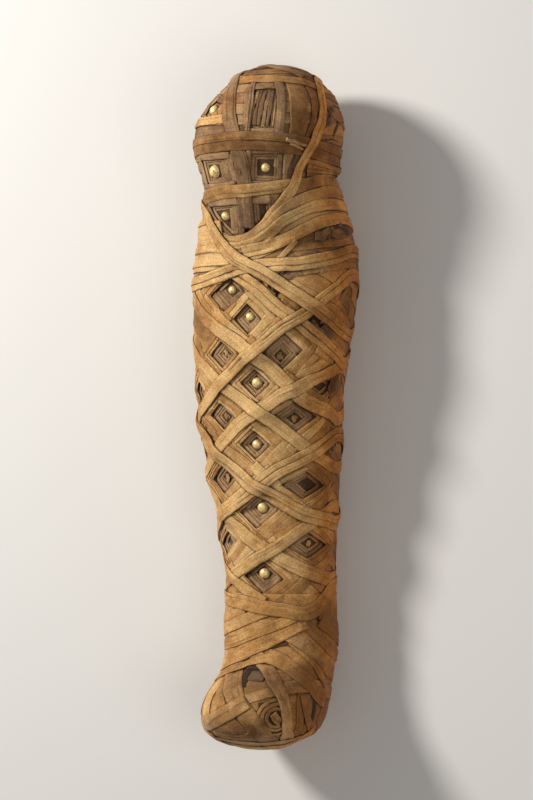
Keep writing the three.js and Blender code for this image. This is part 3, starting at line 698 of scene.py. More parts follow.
def narrow_to_free(centre, across, low_edge, high_edge, clear):
    """Draws the edges of a strip in beside openings, and says which of its rows are kept."""
    keep = np.ones(len(centre), dtype=bool)
    offsets = low_edge[:, None] + (high_edge - low_edge)[:, None] * np.linspace(0, 1, SHARES_ACROSS)
    blocked = in_openings(centre[:, None] + across[:, None] * offsets[..., None], clear)
    for row in np.nonzero(blocked.any(axis=1))[0]:
        turning = np.nonzero(np.diff(blocked[row].astype(int)))[0] + 1
        free = [run for run in np.split(np.arange(SHARES_ACROSS), turning) if not blocked[row, run[0]]]
        best = max(free, key=len, default=())
        keep[row] = len(best) >= LEAST_SHARE * SHARES_ACROSS
        if keep[row]:
            low_edge[row], high_edge[row] = offsets[row, best[0]], offsets[row, best[-1]]
    return keep


def settled(turn, along, lowest, tension, closed):
    """Lowest heights of a strip that is pulled tight over what has been laid below it."""
    nearby = ((0, 0), (NEAR_TURN, 0), (-NEAR_TURN, 0), (0, NEAR_ALONG), (0, -NEAR_ALONG))
    samples = [laid_at(turn + a, along + b, laid_map) for a, b in nearby]
    base = np.maximum(np.max(samples, axis=0), lowest)
    low = base.copy()
    for _ in range(tension):
        before = np.roll(low, 1, axis=0)
        after = np.roll(low, -1, axis=0)
        if not closed:
            before[0], after[-1] = low[0], low[-1]
        low = np.maximum(base, 0.25 * before + 0.5 * low + 0.25 * after)
    for _ in range(3):
        padded = np.concatenate([low[:, :1], low, low[:, -1:]], axis=1)
        low = np.maximum(base, 0.3 * padded[:, :-2] + 0.4 * low + 0.3 * padded[:, 2:])
    return low


def kept_spans(keep, closed):
    """Runs of rows that a strip keeps, and whether it goes round as a whole ring."""
    breaks = np.nonzero(~keep)[0]
    order = np.roll(np.arange(len(keep)), -breaks[0] if closed and len(breaks) else 0)
    cuts = np.nonzero(np.diff(keep[order].astype(int)))[0] + 1
    spans = [span for span in np.split(order, cuts) if keep[span[0]] and len(span) > 2]
    return spans, closed and not len(breaks)


def lay_strip(chance, centre, width, closed=False, height=None, thick=STRIP_LINEN,
              lowest=GROUND_HEIGHT, tension=26, folds=1, fray=0.3, clear=None, aside=0.0, tone=0.0,
              lanes=LANES, puff=0.05, rim=RIM_WIDTH, mark=RIM_SHADE_MARK):
    """Lays one strip of linen along evenly spaced points of the form, over all that lies there."""
    rows = len(centre)
    centre = onto_form(centre)
    across = crossways(centre, closed)
    spacing = float(np.linalg.norm(centre[1] - centre[0]))

    def uneven(row_scale, columns=1, column_scale=1):
        return even_noise(chance, rows, columns, row_scale, column_scale, closed)

    edge_scale = max(1.5, EDGE_WAVE / spacing)
    low_edge, high_edge = [side * width / 2 + aside + fray * uneven(edge_scale)[:, 0]
                           + LONG_FRAY * fray * uneven(9 * edge_scale)[:, 0] for side in (-1, 1)]
    keep = np.ones(rows, dtype=bool)
    if clear:
        keep = narrow_to_free(centre, across, low_edge, high_edge, clear)
    fold_places = chance.uniform(-0.7, 0.7, folds)
    lanes = np.sort(np.concatenate([lanes, fold_places - FOLD_HALF_STEP, fold_places + FOLD_HALF_STEP]))
    lanes = np.concatenate([[-1], lanes, [1]])
    offsets = low_edge[:, None] + (high_edge - low_edge)[:, None] * (lanes + 1) / 2
    # The inner face spreads out past both edges as a dark rim, a painted shadow line with dirt.
    shade_and_dirt_rim = rim * (1 + RIM_UNEVEN * uneven(RIM_WAVE / spacing, 2))
    offsets[:, 0] -= shade_and_dirt_rim[:, 0]
    offsets[:, -1] += shade_and_dirt_rim[:, 1]
    point = onto_form(centre[:, None] + across[:, None] * offsets[..., None])
    turn, along = place_of(point)
    if height is None:
        low = settled(turn, along, lowest, tension, closed)
    else:
        low = np.full(turn.shape, height - thick)

    relief = FINE_RELIEF * uneven(FINE_WAVE / spacing, len(lanes), 1.3)
    relief = relief + BROAD_RELIEF * uneven(BROAD_WAVE / spacing, len(lanes), 2.5)
    relief = relief + puff * (1 - lanes ** 2)
    # Painted shade lines at the foot of each fold step.
    fold_shade_lines = np.zeros((rows, len(lanes)))
    for place in fold_places:
        side = chance.choice([-1, 1])
        step = chance.uniform(*FOLD_STEPS)
        shown = 0.6 + 0.6 * uneven(FOLD_WAVE / spacing)
        relief = relief + shown * step * (side * (lanes - place) > 0)
        foot_lane = np.isclose(lanes, place - side * FOLD_HALF_STEP)
        fold_shade_lines = fold_shade_lines + np.clip(shown, 0, 1) * FOLD_SHADE_MARK * foot_lane
    round_off = np.interp(np.abs(lanes), [ROUNDED_FROM, 1], [0, ROUNDED_OFF])
    top = low + thick * (1 - round_off) + relief * (1 - round_off)
    top[:, [0, -1]] = low[:, [0, -1]] + RIM_LIFT

    run_length = np.arange(rows) * spacing + chance.uniform(0, 1000)
    tones = np.linspace(*np.broadcast_to(tone, 2), rows)[:, None]
    tones = tones + chance.uniform(-TONE_UNEVEN, TONE_UNEVEN)
    # The outer lanes, the rims and the fold feet carry painted shadow with dirt.
    hem = np.maximum(np.abs(lanes), fold_shade_lines)
    hem[:, [0, -1]] = mark + 0.5 * uneven(RIM_SHADE_WAVE / spacing, 2)
    values = {"tone": np.broadcast_to(tones, turn.shape), "hem": hem, "turn": turn, "along": along}
    spans, whole = kept_spans(keep, closed)
    shells = []
    for span in spans:
        raise_map(turn[span], along[span], top[span], (spacing, width / 2 * 0.55))
        span_values = {key: value[span] for key, value in values.items()}
        shells.append(strip_shell(point[span], top[span], low[span], offsets[span], run_length[span],
                                  span_values, whole))
    return shells


def strip_shell(point, top, low, offsets, run_length, values, closed):
    """Closed shell of a strip: rings that go over its outer face and back along the inner one."""
    rows, lanes = top.shape
    ring = 2 * lanes - 2

    def around(outer, under=None):
        """Values along the rings, from those of the outer face and of the inner one."""
        under = outer if under is None else under
        return np.concatenate([outer, under[:, lanes - 2:0:-1]], axis=1)

    height = around(top, low)
    vertices = raised(around(point), height)
    starts = np.arange(rows) * ring
    if closed:
        faces = [ring_faces(starts, np.roll(starts, -1), ring)]
    else:
        faces = [ring_faces(starts[:-1], starts[1:], ring)]
        left = np.arange(lanes - 1)
        below = (ring - np.arange(lanes)) % ring
        below[-1] = lanes - 1
        for first, outward in ((0, 1), (starts[-1], -1)):
            end = np.stack([left, left + 1, below[left + 1], below[left]], axis=-1) + first
            corners = np.array([end[0][[0, 1, 2]], end[-1][[0, 1, 3]]])
            faces += [end[1:-1][:, ::outward], corners[:, ::outward]]
    uv_across = around(offsets)
    uv = np.stack([uv_across, np.broadcast_to(run_length[:, None], uv_across.shape)], axis=-1)
    values = {key: around(value).ravel() for key, value in values.items()}
    return vertices.reshape(-1, 3), faces, uv.reshape(-1, 2), {**values, "height": height.ravel()}


def laid_piece(name, shells, slot, replaced):
    """Joins laid strips into one piece and gives it its linen."""
    vertices, faces, uvs, values = zip(*shells)
    counts = [len(points) for points in vertices]
    firsts = np.cumsum([0, *counts])
    faces = [block + first for first, blocks in zip(firsts, faces) for block in blocks if len(block)]
    faces.sort(key=lambda block: block.shape[1])
    values = {key: np.concatenate([one[key] for one in values]) for key in values[0]}
    piece = new_piece(name, np.concatenate(vertices), faces, np.concatenate(uvs), values)
    return finish_cloth(piece, slot, replaced)


def lozenge(turn, along, rise, fall, upper_left, upper_right, lower_right, lower_left):
    """Body coffer as a middle and its sides: the angle that a side faces, and its distances."""
    upper = [(rise + 90, upper_left), (fall + 90, upper_right)]
    lower = [(rise - 90, lower_right), (fall - 90, lower_left)]
    return [turn, along, upper + lower]


def frame_strips(chance, sides, directions, inner, clear):
    """Level, side, distance, width and overlap of a coffer's strips, the deepest first."""
    strips = []
    for k, (normal, (_, gaps)) in enumerate(zip(directions, sides)):
        if inner:
            strips += [[level, k, gap, gaps[level + 1] - gap + FRAME_STRIP_MARGIN, FRAME_OVERLAP]
                       for level, gap in enumerate(gaps[:-1])]
            continue
        gap = gaps[-1]
        for row, (left_widths, right_widths, reaches) in enumerate(OUTER_ROWS if clear else OUTER_ROWS[:1]):
            width = chance.uniform(*(left_widths if normal[0] < 0 else right_widths))
            strips.append([row, k, gap, width, chance.uniform(*reaches) if clear else FRAME_END])
            gap += width - FRAME_OVERLAP
    return sorted(strips)


def lay_frames(chance, coffer, ground_height, floor_height=None, clear=None):
    """Strips of one coffer: its sunk frames where it has a floor, or else the outer ones."""
    turn, along, sides = coffer
    inner = floor_height is not None
    middle = form(turn, along)
    right, up = tangent_axes(middle)
    angles = [math.radians(angle) for angle, _ in sides]
    directions = [np.array([math.cos(angle), math.sin(angle)]) for angle in angles]
    tones = (-0.3, 0.3) if inner else (-0.85, 0.1) if clear else (-0.5, 0.25)
    thick = FRAME_LINEN if inner else OUTER_FRAME_LINEN
    shells = []
    for level, k, gap, width, reach in frame_strips(chance, sides, directions, inner, clear):
        normal = directions[k]
        ahead = np.array([-normal[1], normal[0]])
        ends = [-FRAME_REACH, FRAME_REACH]
        for other, (other_normal, (_, other_gaps)) in enumerate(zip(directions, sides)):
            lean = ahead @ other_normal
            if other == k or abs(lean) < 0.2:
                continue
            cover = other_gaps[min(level + 1, len(other_gaps) - 1) if inner else -1] + reach
            stop = (cover - gap * (normal @ other_normal)) / lean
            if lean > 0:
                ends[1] = min(ends[1], stop)
            else:
                ends[0] = max(ends[0], stop)
        run = np.arange(ends[0], ends[1] + FRAME_STEP, FRAME_STEP)
        flat = normal * (gap + width / 2) + ahead * run[:, None]
        line = middle + flat[:, :1] * right + flat[:, 1:] * up
        height = None
        if inner:
            stagger = FRAME_STAGGER if k % 2 else 0.0
            share = (level + 1) / len(sides[k][1])
            height = floor_height + (ground_height - floor_height) * share - stagger
        shells += lay_strip(chance, line, width, height=height, thick=thick, folds=0, fray=0.2,
                            lanes=NARROW_LANES, tension=4, puff=0.03, lowest=ground_height, rim=0.6,
                            tone=chance.uniform(*tones), clear=clear)
    return shells


body_coffers = [lozenge(*row) for row in BODY_COFFERS]
frame_chance = np.random.default_rng(21)
inner_shells = []
for coffer in body_coffers:
    inner_shells += lay_frames(frame_chance, coffer, GROUND_HEIGHT, SHROUD_HEIGHT)
scrap_shells = []
for k in EMPTY_COFFERS:
    middle = form(*BODY_COFFERS[k][:2])
    right, up = tangent_axes(middle)
    for angle in frame_chance.uniform(0, 180, 5):
        lean = math.radians(angle)
        run = np.arange(-3, 3.1, 1.0)[:, None] * frame_chance.uniform(0.7, 1.2)
        aside = frame_chance.uniform(-1.8, 1.8, 2)
        line = middle + (run * math.cos(lean) + aside[0]) * right
        line = line + (run * math.sin(lean) + aside[1]) * up
        scrap_shells += lay_strip(frame_chance, line, frame_chance.uniform(2.5, 4.5), thick=0.6,
                                  height=SHROUD_HEIGHT + frame_chance.uniform(0.8, 2.2), fray=0.5,
                                  folds=0, lanes=NARROW_LANES, rim=0.3,
                                  tone=frame_chance.uniform(-0.9, 0.2))
laid_piece("coffer_floor_scraps", scrap_shells, "warm_linen", "coffer_net_inner")
inner_frames = laid_piece("coffer_frames_inner", inner_shells, "grey_linen", "coffer_net_inner")

# The ground turns: thin earlier bandages of the same pale linen, which wind round the body
# both ways between the coffers. Rows of long strips are laid over them round every coffer,
# and their ends run on under the later turns.
FRONT_RISE = np.array([[-180, -136], [-135, -108], [-90, -72], [-60, -52], [-40, -38], [-25, -25], [-5, -2],
                       [15, 21], [25, 31], [45, 44], [60, 53], [90, 66], [135, 102], [180, 136]], dtype=float)
GROUND_PITCH = 272.0
GROUND_WIDTH = 27.0
GROUND_STRIPS = 12
GROUND_LINEN = 0.6
GROUND_FROM = -262.0
GROUND_TO = 176.0
GROUND_SPACING = 3.0
TORN_OPENINGS = [
    [50, 98, [(50, [6]), (230, [6]), (-42, [15]), (138, [13])]],
    [13, 139, [(48, [2.5]), (228, [2.5]), (-42, [10]), (138, [10])]],
    [76, 22, [(0, [3]), (180, [5]), (60, [8]), (-60, [9])]],
]
body_openings = openings(body_coffers, 0.8) + openings(TORN_OPENINGS)
ground_chance = np.random.default_rng(31)


def lay_under(chance, path, width, tones, closed=False, **how):
    """Thin strip of an earlier wrapping, laid less tightly than a bandage."""
    return lay_strip(chance, along_path(path, GROUND_SPACING, closed), width, closed=closed,
                     thick=GROUND_LINEN, tension=6, tone=chance.uniform(*tones), **how)


def lay_ground(chance, sign, lowest):
    """Bandages that wind up the body side by side, rising to the right or to the left."""
    turns = np.arange(-180.0, 180.0 + 360 * 3, 12.0)
    lift = np.interp((turns + 180) % 360 - 180, FRONT_RISE[:, 0], FRONT_RISE[:, 1])
    shells = []
    for k in range(GROUND_STRIPS):
        start = GROUND_FROM - GROUND_PITCH / 2 + k * GROUND_PITCH / GROUND_STRIPS
        along = start + lift + GROUND_PITCH * np.floor((turns + 180) / 360)
        inside = (along > GROUND_FROM) & (along < GROUND_TO)
        path = np.stack([sign * turns[inside], along[inside]], axis=-1)
        path[:, 1] += chance.uniform(-1.5, 1.5, len(path))
        shells += lay_under(chance, path, GROUND_WIDTH, (-0.8, 0.2), lowest=lowest, clear=body_openings)
    return shells


rising_shells = lay_ground(ground_chance, 1, GROUND_HEIGHT - 2 * GROUND_LINEN)
rising_ground = laid_piece("ground_turns_rising", rising_shells, "pale_linen", "coffer_net_outer")
falling_shells = lay_ground(ground_chance, -1, GROUND_HEIGHT - GROUND_LINEN)
falling_ground = laid_piece("ground_turns_falling", falling_shells, "pale_linen", "coffer_net_outer")
outer_shells = []
for coffer in body_coffers:
    outer_shells += lay_frames(frame_chance, coffer, GROUND_HEIGHT - 0.3, clear=body_openings)
outer_frames = laid_piece("coffer_frames_outer", outer_shells, "pale_linen", "coffer_net_outer")

# The head under its bandages: level turns of grey and brown linen close it round its framed
# recesses. These are upright: [turn, along, sides], a side being the angle that it faces away
# from the middle, 0 the right and 90 upwards, and the distances of its strips.
HEAD_COFFERS = [
    [-37, 354, [(0, [8.5, 12]), (70, [8, 11.5]), (125, [8, 11.5]), (180, [8.5, 12]), (245, [8, 11.5]),
                (300, [8, 11.5])]],
    [-27, 275, [(0, [12, 18, 24, 30]), (90, [8.5, 12, 15.5]), (180, [11, 17, 23]), (270, [8.5, 12, 15])]],
    [22, 278, [(0, [11.5, 15, 24]), (90, [10.5, 14, 18]), (180, [11.5, 15, 20]), (270, [10.5, 13.5, 17])]],
    [-21, 223, [(-14, [8, 12, 16, 20.5]), (90, [8, 11, 14]), (221, [8, 12])]],
    [9.5, 226, [(0, [5, 8.5]), (90, [9.5, 12.5]), (180, [5, 9, 13.5]), (285, [10, 13])]],
    [12, 351, [(0, [14.5, 18]), (90, [30, 33]), (183, [15, 18.5]), (270, [25, 28])]],
]
HEAD_GROUND_HEIGHT = -4.6
HEAD_TURNS = [[-180, -3], [-135, -1], [-90, 1], [-45, 0], [0, 0], [45, 1], [90, 3], [135, 0]]
WINDOW_STRIPS = [[1.5, 5], [5.5, 8.5], [9.5, 11.5], [13.5, 15], [17, 19], [20.5, 23]]
WINDOW_TOP = 381
WINDOW_MIDDLE = 350
WINDOW_FOOT = 327
piece_seeds = iter(range(101, 200))


def strip(width, *path, **how):
    """One strip of a piece: its width, the places that it passes and how it is laid."""
    return width, path, how


def band(name, slot, rests_on, *strips, replaced=None, held="stretched"):
    """Piece of one or more strips, which stands for the solid of its own name or another."""
    chance = np.random.default_rng(next(piece_seeds))
    shells = []
    for width, path, how in strips:
        shells += lay_strip(chance, along_path(path, 2.0, how.get("closed", False)), width, **how)
    return laid_piece(name, shells, slot, replaced or name.replace("linen_", ""))


head_openings = openings(HEAD_COFFERS, 1.2)
head_chance = np.random.default_rng(41)
head_shells = []
for coffer in HEAD_COFFERS:
    head_shells += lay_frames(head_chance, coffer, HEAD_GROUND_HEIGHT, HEAD_CLOTH_HEIGHT)
for middle in np.arange(218, 392, 13.5):
    path = [[turn, middle + rise + head_chance.uniform(-2, 2)] for turn, rise in HEAD_TURNS]
    head_shells += lay_under(head_chance, path, 17, (-0.5, 0.3), closed=True, clear=head_openings,
                             lowest=HEAD_GROUND_HEIGHT - GROUND_LINEN)
for coffer in HEAD_COFFERS:
    head_shells += lay_frames(head_chance, coffer, HEAD_GROUND_HEIGHT - 0.3)
head_frames = laid_piece("head_frames", head_shells, "grey_linen", "head_net")
side_shells = []
for middle in np.arange(268, 402, 10.5):
    path = [[turn, middle + head_chance.uniform(-4, 4)] for turn in (64, 76, 90, 110, 135, 160, 185)]
    side_shells += lay_under(head_chance, path, 14, (-1.2, -0.2), fray=0.8, lowest=HEAD_GROUND_HEIGHT)
head_side = laid_piece("head_side_turns", side_shells, "warm_linen", "head_net")
band("head_gap_cloths", "dark_linen", [head_side],
     strip(5, [72, 329], [77, 336], [82, 345], folds=0, fray=0.9, tone=0.3),
     strip(4, [87, 322], [90, 329], [92, 338], folds=0, fray=0.9),
     strip(5, [78, 350], [84, 352], [89, 353], folds=0, fray=0.9, tone=0.2),
     strip(4, [70, 301], [80, 303], [90, 307], folds=0, fray=0.9, tone=-0.3),
     strip(3, [66, 286], [80, 287], [92, 283], folds=0, fray=0.9, tone=-0.3),
     strip(8, [42, 264], [46, 280], [50, 297], folds=0, fray=0.5, tone=0.2),
     replaced="head_net", held="laid")
neck_folds = [strip(5, [60, 267 + 5.5 * k], [78, 272 + 3.6 * k], [100, 280 + k], [140, 278 + 2 * k],
                    folds=0, fray=0.8, tone=-0.9 + 0.25 * (k % 3)) for k in range(5)]
band("neck_fold_strips", "warm_linen", [head_side], *neck_folds, replaced="head_net", held="laid")
window_shells = []
for top_turn, low_turn in WINDOW_STRIPS:
    lower = WINDOW_FOOT + head_chance.uniform(-1, 3)
    middle_turn = (top_turn + low_turn) / 2 + head_chance.uniform(-0.6, 0.6)
    path = [[top_turn, WINDOW_TOP], [middle_turn, WINDOW_MIDDLE], [low_turn, lower]]
    window_shells += lay_strip(head_chance, along_path(path, 2.0), 4.6, thick=0.8, fray=0.7, folds=0,
                               height=HEAD_CLOTH_HEIGHT + head_chance.uniform(0.9, 2.1),
                               lanes=NARROW_LANES, tone=head_chance.uniform(-1.5, 0.0))
for turn in np.linspace(4, 23, 15):
    thread_end = [turn + head_chance.uniform(-1, 1), WINDOW_FOOT - head_chance.uniform(1.5, 4)]
    path = [[turn, WINDOW_FOOT + 2], thread_end]
    window_shells += lay_strip(head_chance, along_path(path, 1.5), 0.7, thick=0.5, fray=0.1, folds=0,
                               height=HEAD_CLOTH_HEIGHT + 1.9, lanes=NARROW_LANES, rim=0.05, tone=-0.2)
laid_piece("forehead_recess_strips", window_shells, "grey_linen", "head_net")

# Wraps of the shins and feet: one cloth round each, which the bandages below the coffers
# are wound over and which shows wherever they part.
LEG_WRAP_HEIGHT = -2.3
FOOT_WRAP_HEIGHT = -2.0
leg_wrap = wrap_cloth("leg_wrap_cloth", "pale_linen", "foot_cloth",
                      np.arange(-334, -218, 4.0), LEG_WRAP_HEIGHT, seed=15, tone=0.0)
foot_wrap_rows = np.concatenate([sole_rows, np.arange(-380, -322, 4.0)])
wrap_cloth("foot_wrap_cloth", "pale_linen", "foot_cloth", foot_wrap_rows,
           FOOT_WRAP_HEIGHT, seed=16, end="sole", tone=-0.4)

# The gilded studs: thin domes of gilded plaster pressed into the coffers, each a little
# uneven, with a rolled edge that sits on the shroud. A stud is its turn, along and radius.
STUD_HEIGHT_SHARE = 0.72
STUD_SEAT = 1.1
EDGE_DEPTH = 0.9
EDGE_SPREAD = 1.09
EDGE_ROUND = 0.35
STUDS = {
    "head_stud_1": (-37, 354, 6.2),
    "head_stud_2": (-27, 275, 7.4),
    "head_stud_3": (22, 278, 4.8),
    "head_stud_4": (-21, 223, 4.9),
    "body_stud_1": (-15, 140, 5.0),
    "body_stud_2": (-1, 107, 5.2),
    "body_stud_3": (5, 28, 6.0),
    "body_stud_4": (2, -45, 5.7),
    "body_stud_5": (2, -120, 6.0),
    "body_stud_6": (-1, -198, 6.4),
}
# Gold leaf on plaster: bright where it is whole, dull and reddish where it has worn.
gilt, gilt_tree, gilt_shader = new_material("gilding")
gilt_place = add_node(gilt_tree, "TexCoord", {}, "Object")
worn = add_node(gilt_tree, "TexNoise", {"Vector": gilt_place, "Scale": 260, "Detail": 4}, "Fac")
gold = add_node(gilt_tree, "ValToRGB", {"Fac": worn}, "Color")
worn_end, whole_end = gold.node.color_ramp.elements
worn_end.position = 0.30
worn_end.color = (0.34, 0.17, 0.045, 1)
whole_end.position = 0.47
whole_end.color = (0.95, 0.70, 0.30, 1)
dull = add_node(gilt_tree, "MapRange", {"Value": worn, "From Min": 0.35, "From Max": 0.6, "To Min": 0.68,
                                        "To Max": 0.40}, "Result")
gilt_bump = add_node(gilt_tree, "Bump", {"Height": worn, "Strength": 0.4, "Distance": 0.0003}, "Normal")
gilt_tree.links.new(gold, gilt_shader.inputs["Base Color"])
gilt_tree.links.new(dull, gilt_shader.inputs["Roughness"])
gilt_tree.links.new(gilt_bump, gilt_shader.inputs["Normal"])
gilt_shader.inputs["Metallic"].default_value = 0.35
gilt_shader.inputs["Specular IOR Level"].default_value = 0.9

stud_chance = np.random.default_rng(51)
for stud_name, (turn, along, radius) in STUDS.items():
    bpy.ops.object.select_all(action="DESELECT")
    bpy.ops.mesh.primitive_uv_sphere_add(segments=28, ring_count=16, radius=radius * MM)
    stud = bpy.context.object
    stud.name = stud_name.replace("stud", "gilt_stud")
    bpy.ops.object.mode_set(mode="EDIT")
    bpy.ops.mesh.select_all(action="SELECT")
    bpy.ops.mesh.bisect(plane_co=(0, 0, 0), plane_no=(0, 0, -1), clear_outer=True, use_fill=True)
    bpy.ops.mesh.select_all(action="SELECT")
    bpy.ops.transform.resize(value=(1, 1, STUD_HEIGHT_SHARE), center_override=(0, 0, 0))
    bpy.ops.object.mode_set(mode="OBJECT")
    flat_back = max(stud.data.polygons, key=lambda face: len(face.vertices))
    for element in (*stud.data.vertices, *stud.data.edges, *stud.data.polygons):
        element.select = False
    flat_back.select = True
    bpy.ops.object.mode_set(mode="EDIT")
    bpy.ops.mesh.select_mode(type="FACE")
    bpy.ops.mesh.extrude_region_move(TRANSFORM_OT_translate={"value": (0, 0, -EDGE_DEPTH * MM)})
    bpy.ops.transform.resize(value=(EDGE_SPREAD, EDGE_SPREAD, 1), center_override=(0, 0, 0))
    bpy.ops.mesh.bevel(offset=EDGE_ROUND * MM, segments=2, affect="EDGES")
    bpy.ops.object.mode_set(mode="OBJECT")
    bpy.ops.object.shade_smooth_by_angle(angle=math.radians(50))
    ground = HEAD_CLOTH_HEIGHT if stud_name.startswith("head") else SHROUD_HEIGHT
    seat = form(turn, along)
    out = outwards(seat)
    middle = Vector((seat + out * (ground + STUD_SEAT) + DRAWING_ORIGIN) * MM)
    tilt = Vector(out) + Vector(stud_chance.uniform(-0.06, 0.06, 3))
    facing = tilt.to_track_quat("Z", "Y").to_matrix().to_4x4()
    uneven = Matrix.Diagonal((stud_chance.uniform(0.95, 1.05), stud_chance.uniform(0.95, 1.05), 1, 1))
    stud.data.transform(Matrix.Translation(middle) @ facing @ uneven)
    stud.data.materials.append(gilt)
    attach(stud, "root")
    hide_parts(stud_name)

# Bandages of the head, in the order in which they were wound: a cap of brown linen on the
# crown, upright strips on the brow, and the bands round crown, forehead and cheeks.
CROWN_WRAP_HEIGHT = -2.6
CROWN_TURNS = (-178, -120, -60, 0, 60, 120)
CROWN_LINEN = 0.7
FOREHEAD_PATH = [[-180, 296], [-90, 305], [-30, 309], [10, 311], [40, 307], [90, 300]]
crown_cloth = wrap_cloth("linen_crown_wrap", "warm_linen", "crown_wrap",
                         crown_rows(np.arange(52, 88, 3)), CROWN_WRAP_HEIGHT, seed=14,
                         end="crown", tone=-1.2)
crown_strips = []
for along, width, tone in ((398, 12, -0.9), (404.5, 10, -1.4)):
    path = [[turn, along + head_chance.uniform(-1.0, 1.0)] for turn in CROWN_TURNS]
    crown_strips.append(strip(width, *path, closed=True, tone=tone, thick=CROWN_LINEN))
band("crown_strips", "warm_linen", [crown_cloth], *crown_strips,
     strip(13, [-75, 380], [-62, 396], [-30, 405], [60, 405], [105, 396], [120, 380],
           tone=-1.1, thick=CROWN_LINEN),
     strip(11, [-120, 380], [-110, 397], [-60, 407], [30, 402], [62, 392],
           tone=-0.7, thick=CROWN_LINEN),
     replaced="crown_wrap", held="laid")
band("linen_brow_strip_left", "grey_linen", [head_frames],
     strip(5, [5, 318], [2.5, 345], [0.5, 362], [-3, 378], [-7, 390], tone=-0.3))
band("linen_brow_strip_middle", "grey_linen", [head_frames],
     strip(10, [30, 315], [28.5, 340], [27, 358], [25, 374], [20, 390], tone=-0.2))
band("linen_brow_panel", "warm_linen", [head_frames],
     strip(23, [46, 310], [45.5, 336], [44.5, 356], [44, 374], [41, 390], folds=0, tone=-0.9))
band("linen_brow_strip_right", "warm_linen", [head_frames],
     strip(8, [57, 310], [59, 330], [60, 345], [61, 374], [58, 388], tone=-0.9))
band("linen_crown_band", "pale_linen", [head_frames],
     strip(12, [-180, 376], [-120, 386], [-60, 391], [-20, 389], [20, 388], [50, 386], [90, 378],
           closed=True, tone=-0.8))
band("brow_side_strip", "pale_linen", [head_frames],
     strip(12, [-70, 339], [-50, 338], [-30, 338], [-8, 340], fray=0.9, tone=-0.1),
     replaced="head_net", held="laid")
band("linen_nose_band", "grey_linen", [head_frames],
     strip(17.5, [-2, 210], [-1, 240], [2, 262], [2, 285], [-2, 308], [-6, 325], [-11, 342],
           [-18, 360], [-27, 374], [-42, 387], [-66, 397], [-100, 401], [-140, 396], [-160, 380],
           folds=2, tone=(-0.9, -0.1)))
band("linen_forehead_band", "warm_linen", [head_frames],
     strip(22, *FOREHEAD_PATH, closed=True, folds=3, tone=-1.35),
     strip(9, *FOREHEAD_PATH, closed=True, aside=5.5, thick=0.6, tone=-1.1),
     strip(3.5, [36, 312], [46, 309], [56, 304], folds=0, thick=0.35, fray=0.8, tone=0.2),
     strip(2.5, [40, 306], [48, 303], [57, 298], folds=0, thick=0.35, fray=0.6, tone=0.2))
band("linen_cheek_band", "pale_linen", [head_frames],
     strip(15, [-180, 250], [-90, 246], [-45, 249], [-10, 252], [20, 255], [40, 259], [90, 264], [140, 258],
           closed=True, folds=2, tone=-0.6))

# Bandages of the neck and shoulders: a wrapping of brown turns, and over it pale ones that
# fan out from under the chin. One bandage goes on from there over the right cheek to the
# crown and is the last of the head.
SHOULDER_TURNS = [[-180, -16], [-135, -10], [-90, -4], [-45, -4], [-15, 0], [15, 2], [45, 10],
                  [90, 16], [135, 0]]
NECK_RISE = np.array([[14, 221], [30, 235], [45, 244], [62, 251], [82, 256], [110, 254], [150, 246],
                      [178, 240]])
shoulder_chance = np.random.default_rng(61)
shoulder_shells = []
neck_clear = body_openings + head_openings + openings([[-12, 262, [(243, [41]), (312, [52]), (90, [100])]]])
for middle in np.arange(156, 200, 10.0):
    path = [[turn, middle + rise + shoulder_chance.uniform(-2, 2)] for turn, rise in SHOULDER_TURNS]
    shoulder_shells += lay_under(shoulder_chance, path, 17, (-1.1, 0.2), closed=True, clear=neck_clear)
for lift in np.arange(-38, 14, 8.5):
    turns = np.linspace(14 + max(1.3 * lift, 0.6 * lift), 178, 10)
    along = np.interp(turns, NECK_RISE[:, 0], NECK_RISE[:, 1]) + lift
    along += np.minimum(turns - NECK_RISE[0, 0], 0) * 0.8 + shoulder_chance.uniform(-1, 1, len(turns))
    path = np.stack([turns, along], axis=-1)
    shoulder_shells += lay_under(shoulder_chance, path, 13, (-0.8, 0.3), clear=body_openings)
shoulder_ground = laid_piece("shoulder_turns", shoulder_shells, "warm_linen", "coffer_net_outer")
band("chin_strip", "pale_linen", [shoulder_ground],
     strip(11, [-66, 248], [-50, 230], [-36, 214], [-23, 201], [-12, 195], [0, 195], [12, 201], tone=0.1),
     replaced="coffer_net_outer")
band("linen_jaw_band", "pale_linen", [head_frames, shoulder_ground],
     strip(13, [-4, 196], [8, 211], [21, 231], [34, 248], [44, 261], [52, 279], [59, 302], [66, 328],
           [70, 348], [73, 364], [80, 380], [110, 394], [170, 394], [-150, 372], [-132, 345],
           [-122, 310], [-118, 272], folds=2))
band("shoulder_gap_cloths", "dark_linen", [shoulder_ground],
     strip(10, [46, 202], [60, 208], [76, 212], [88, 212], folds=0, fray=0.8, tone=0.3),
     strip(7, [10, 166], [22, 168], [36, 172], folds=0, fray=0.8, tone=0.2),
     replaced="coffer_net_outer", held="laid")
band("linen_neck_band_high", "warm_linen", [shoulder_ground],
     strip(13, [-26, 200], [-13, 196], [0, 201], [12, 213], [24, 228], [34, 237], [45, 244],
           [62, 251], [82, 256], [110, 254], [150, 246], [178, 240], tone=(0.2, -0.5)))
band("linen_neck_band_middle", "pale_linen", [shoulder_ground],
     strip(13, [-20, 190], [-8, 189], [2, 195], [12, 206], [22, 217], [36, 227], [50, 235],
           [66, 240], [84, 242], [112, 238], [150, 228], [176, 222], folds=2))
band("linen_neck_band_low", "pale_linen", [shoulder_ground],
     strip(14, [-6, 184], [10, 190], [24, 199], [38, 209], [52, 217], [68, 223], [84, 225],
           [110, 219], [140, 208], [170, 200], folds=2))
band("linen_chest_strip", "pale_linen", [shoulder_ground],
     strip(6, [6, 156], [15, 173], [22, 184], [30, 196], folds=0))

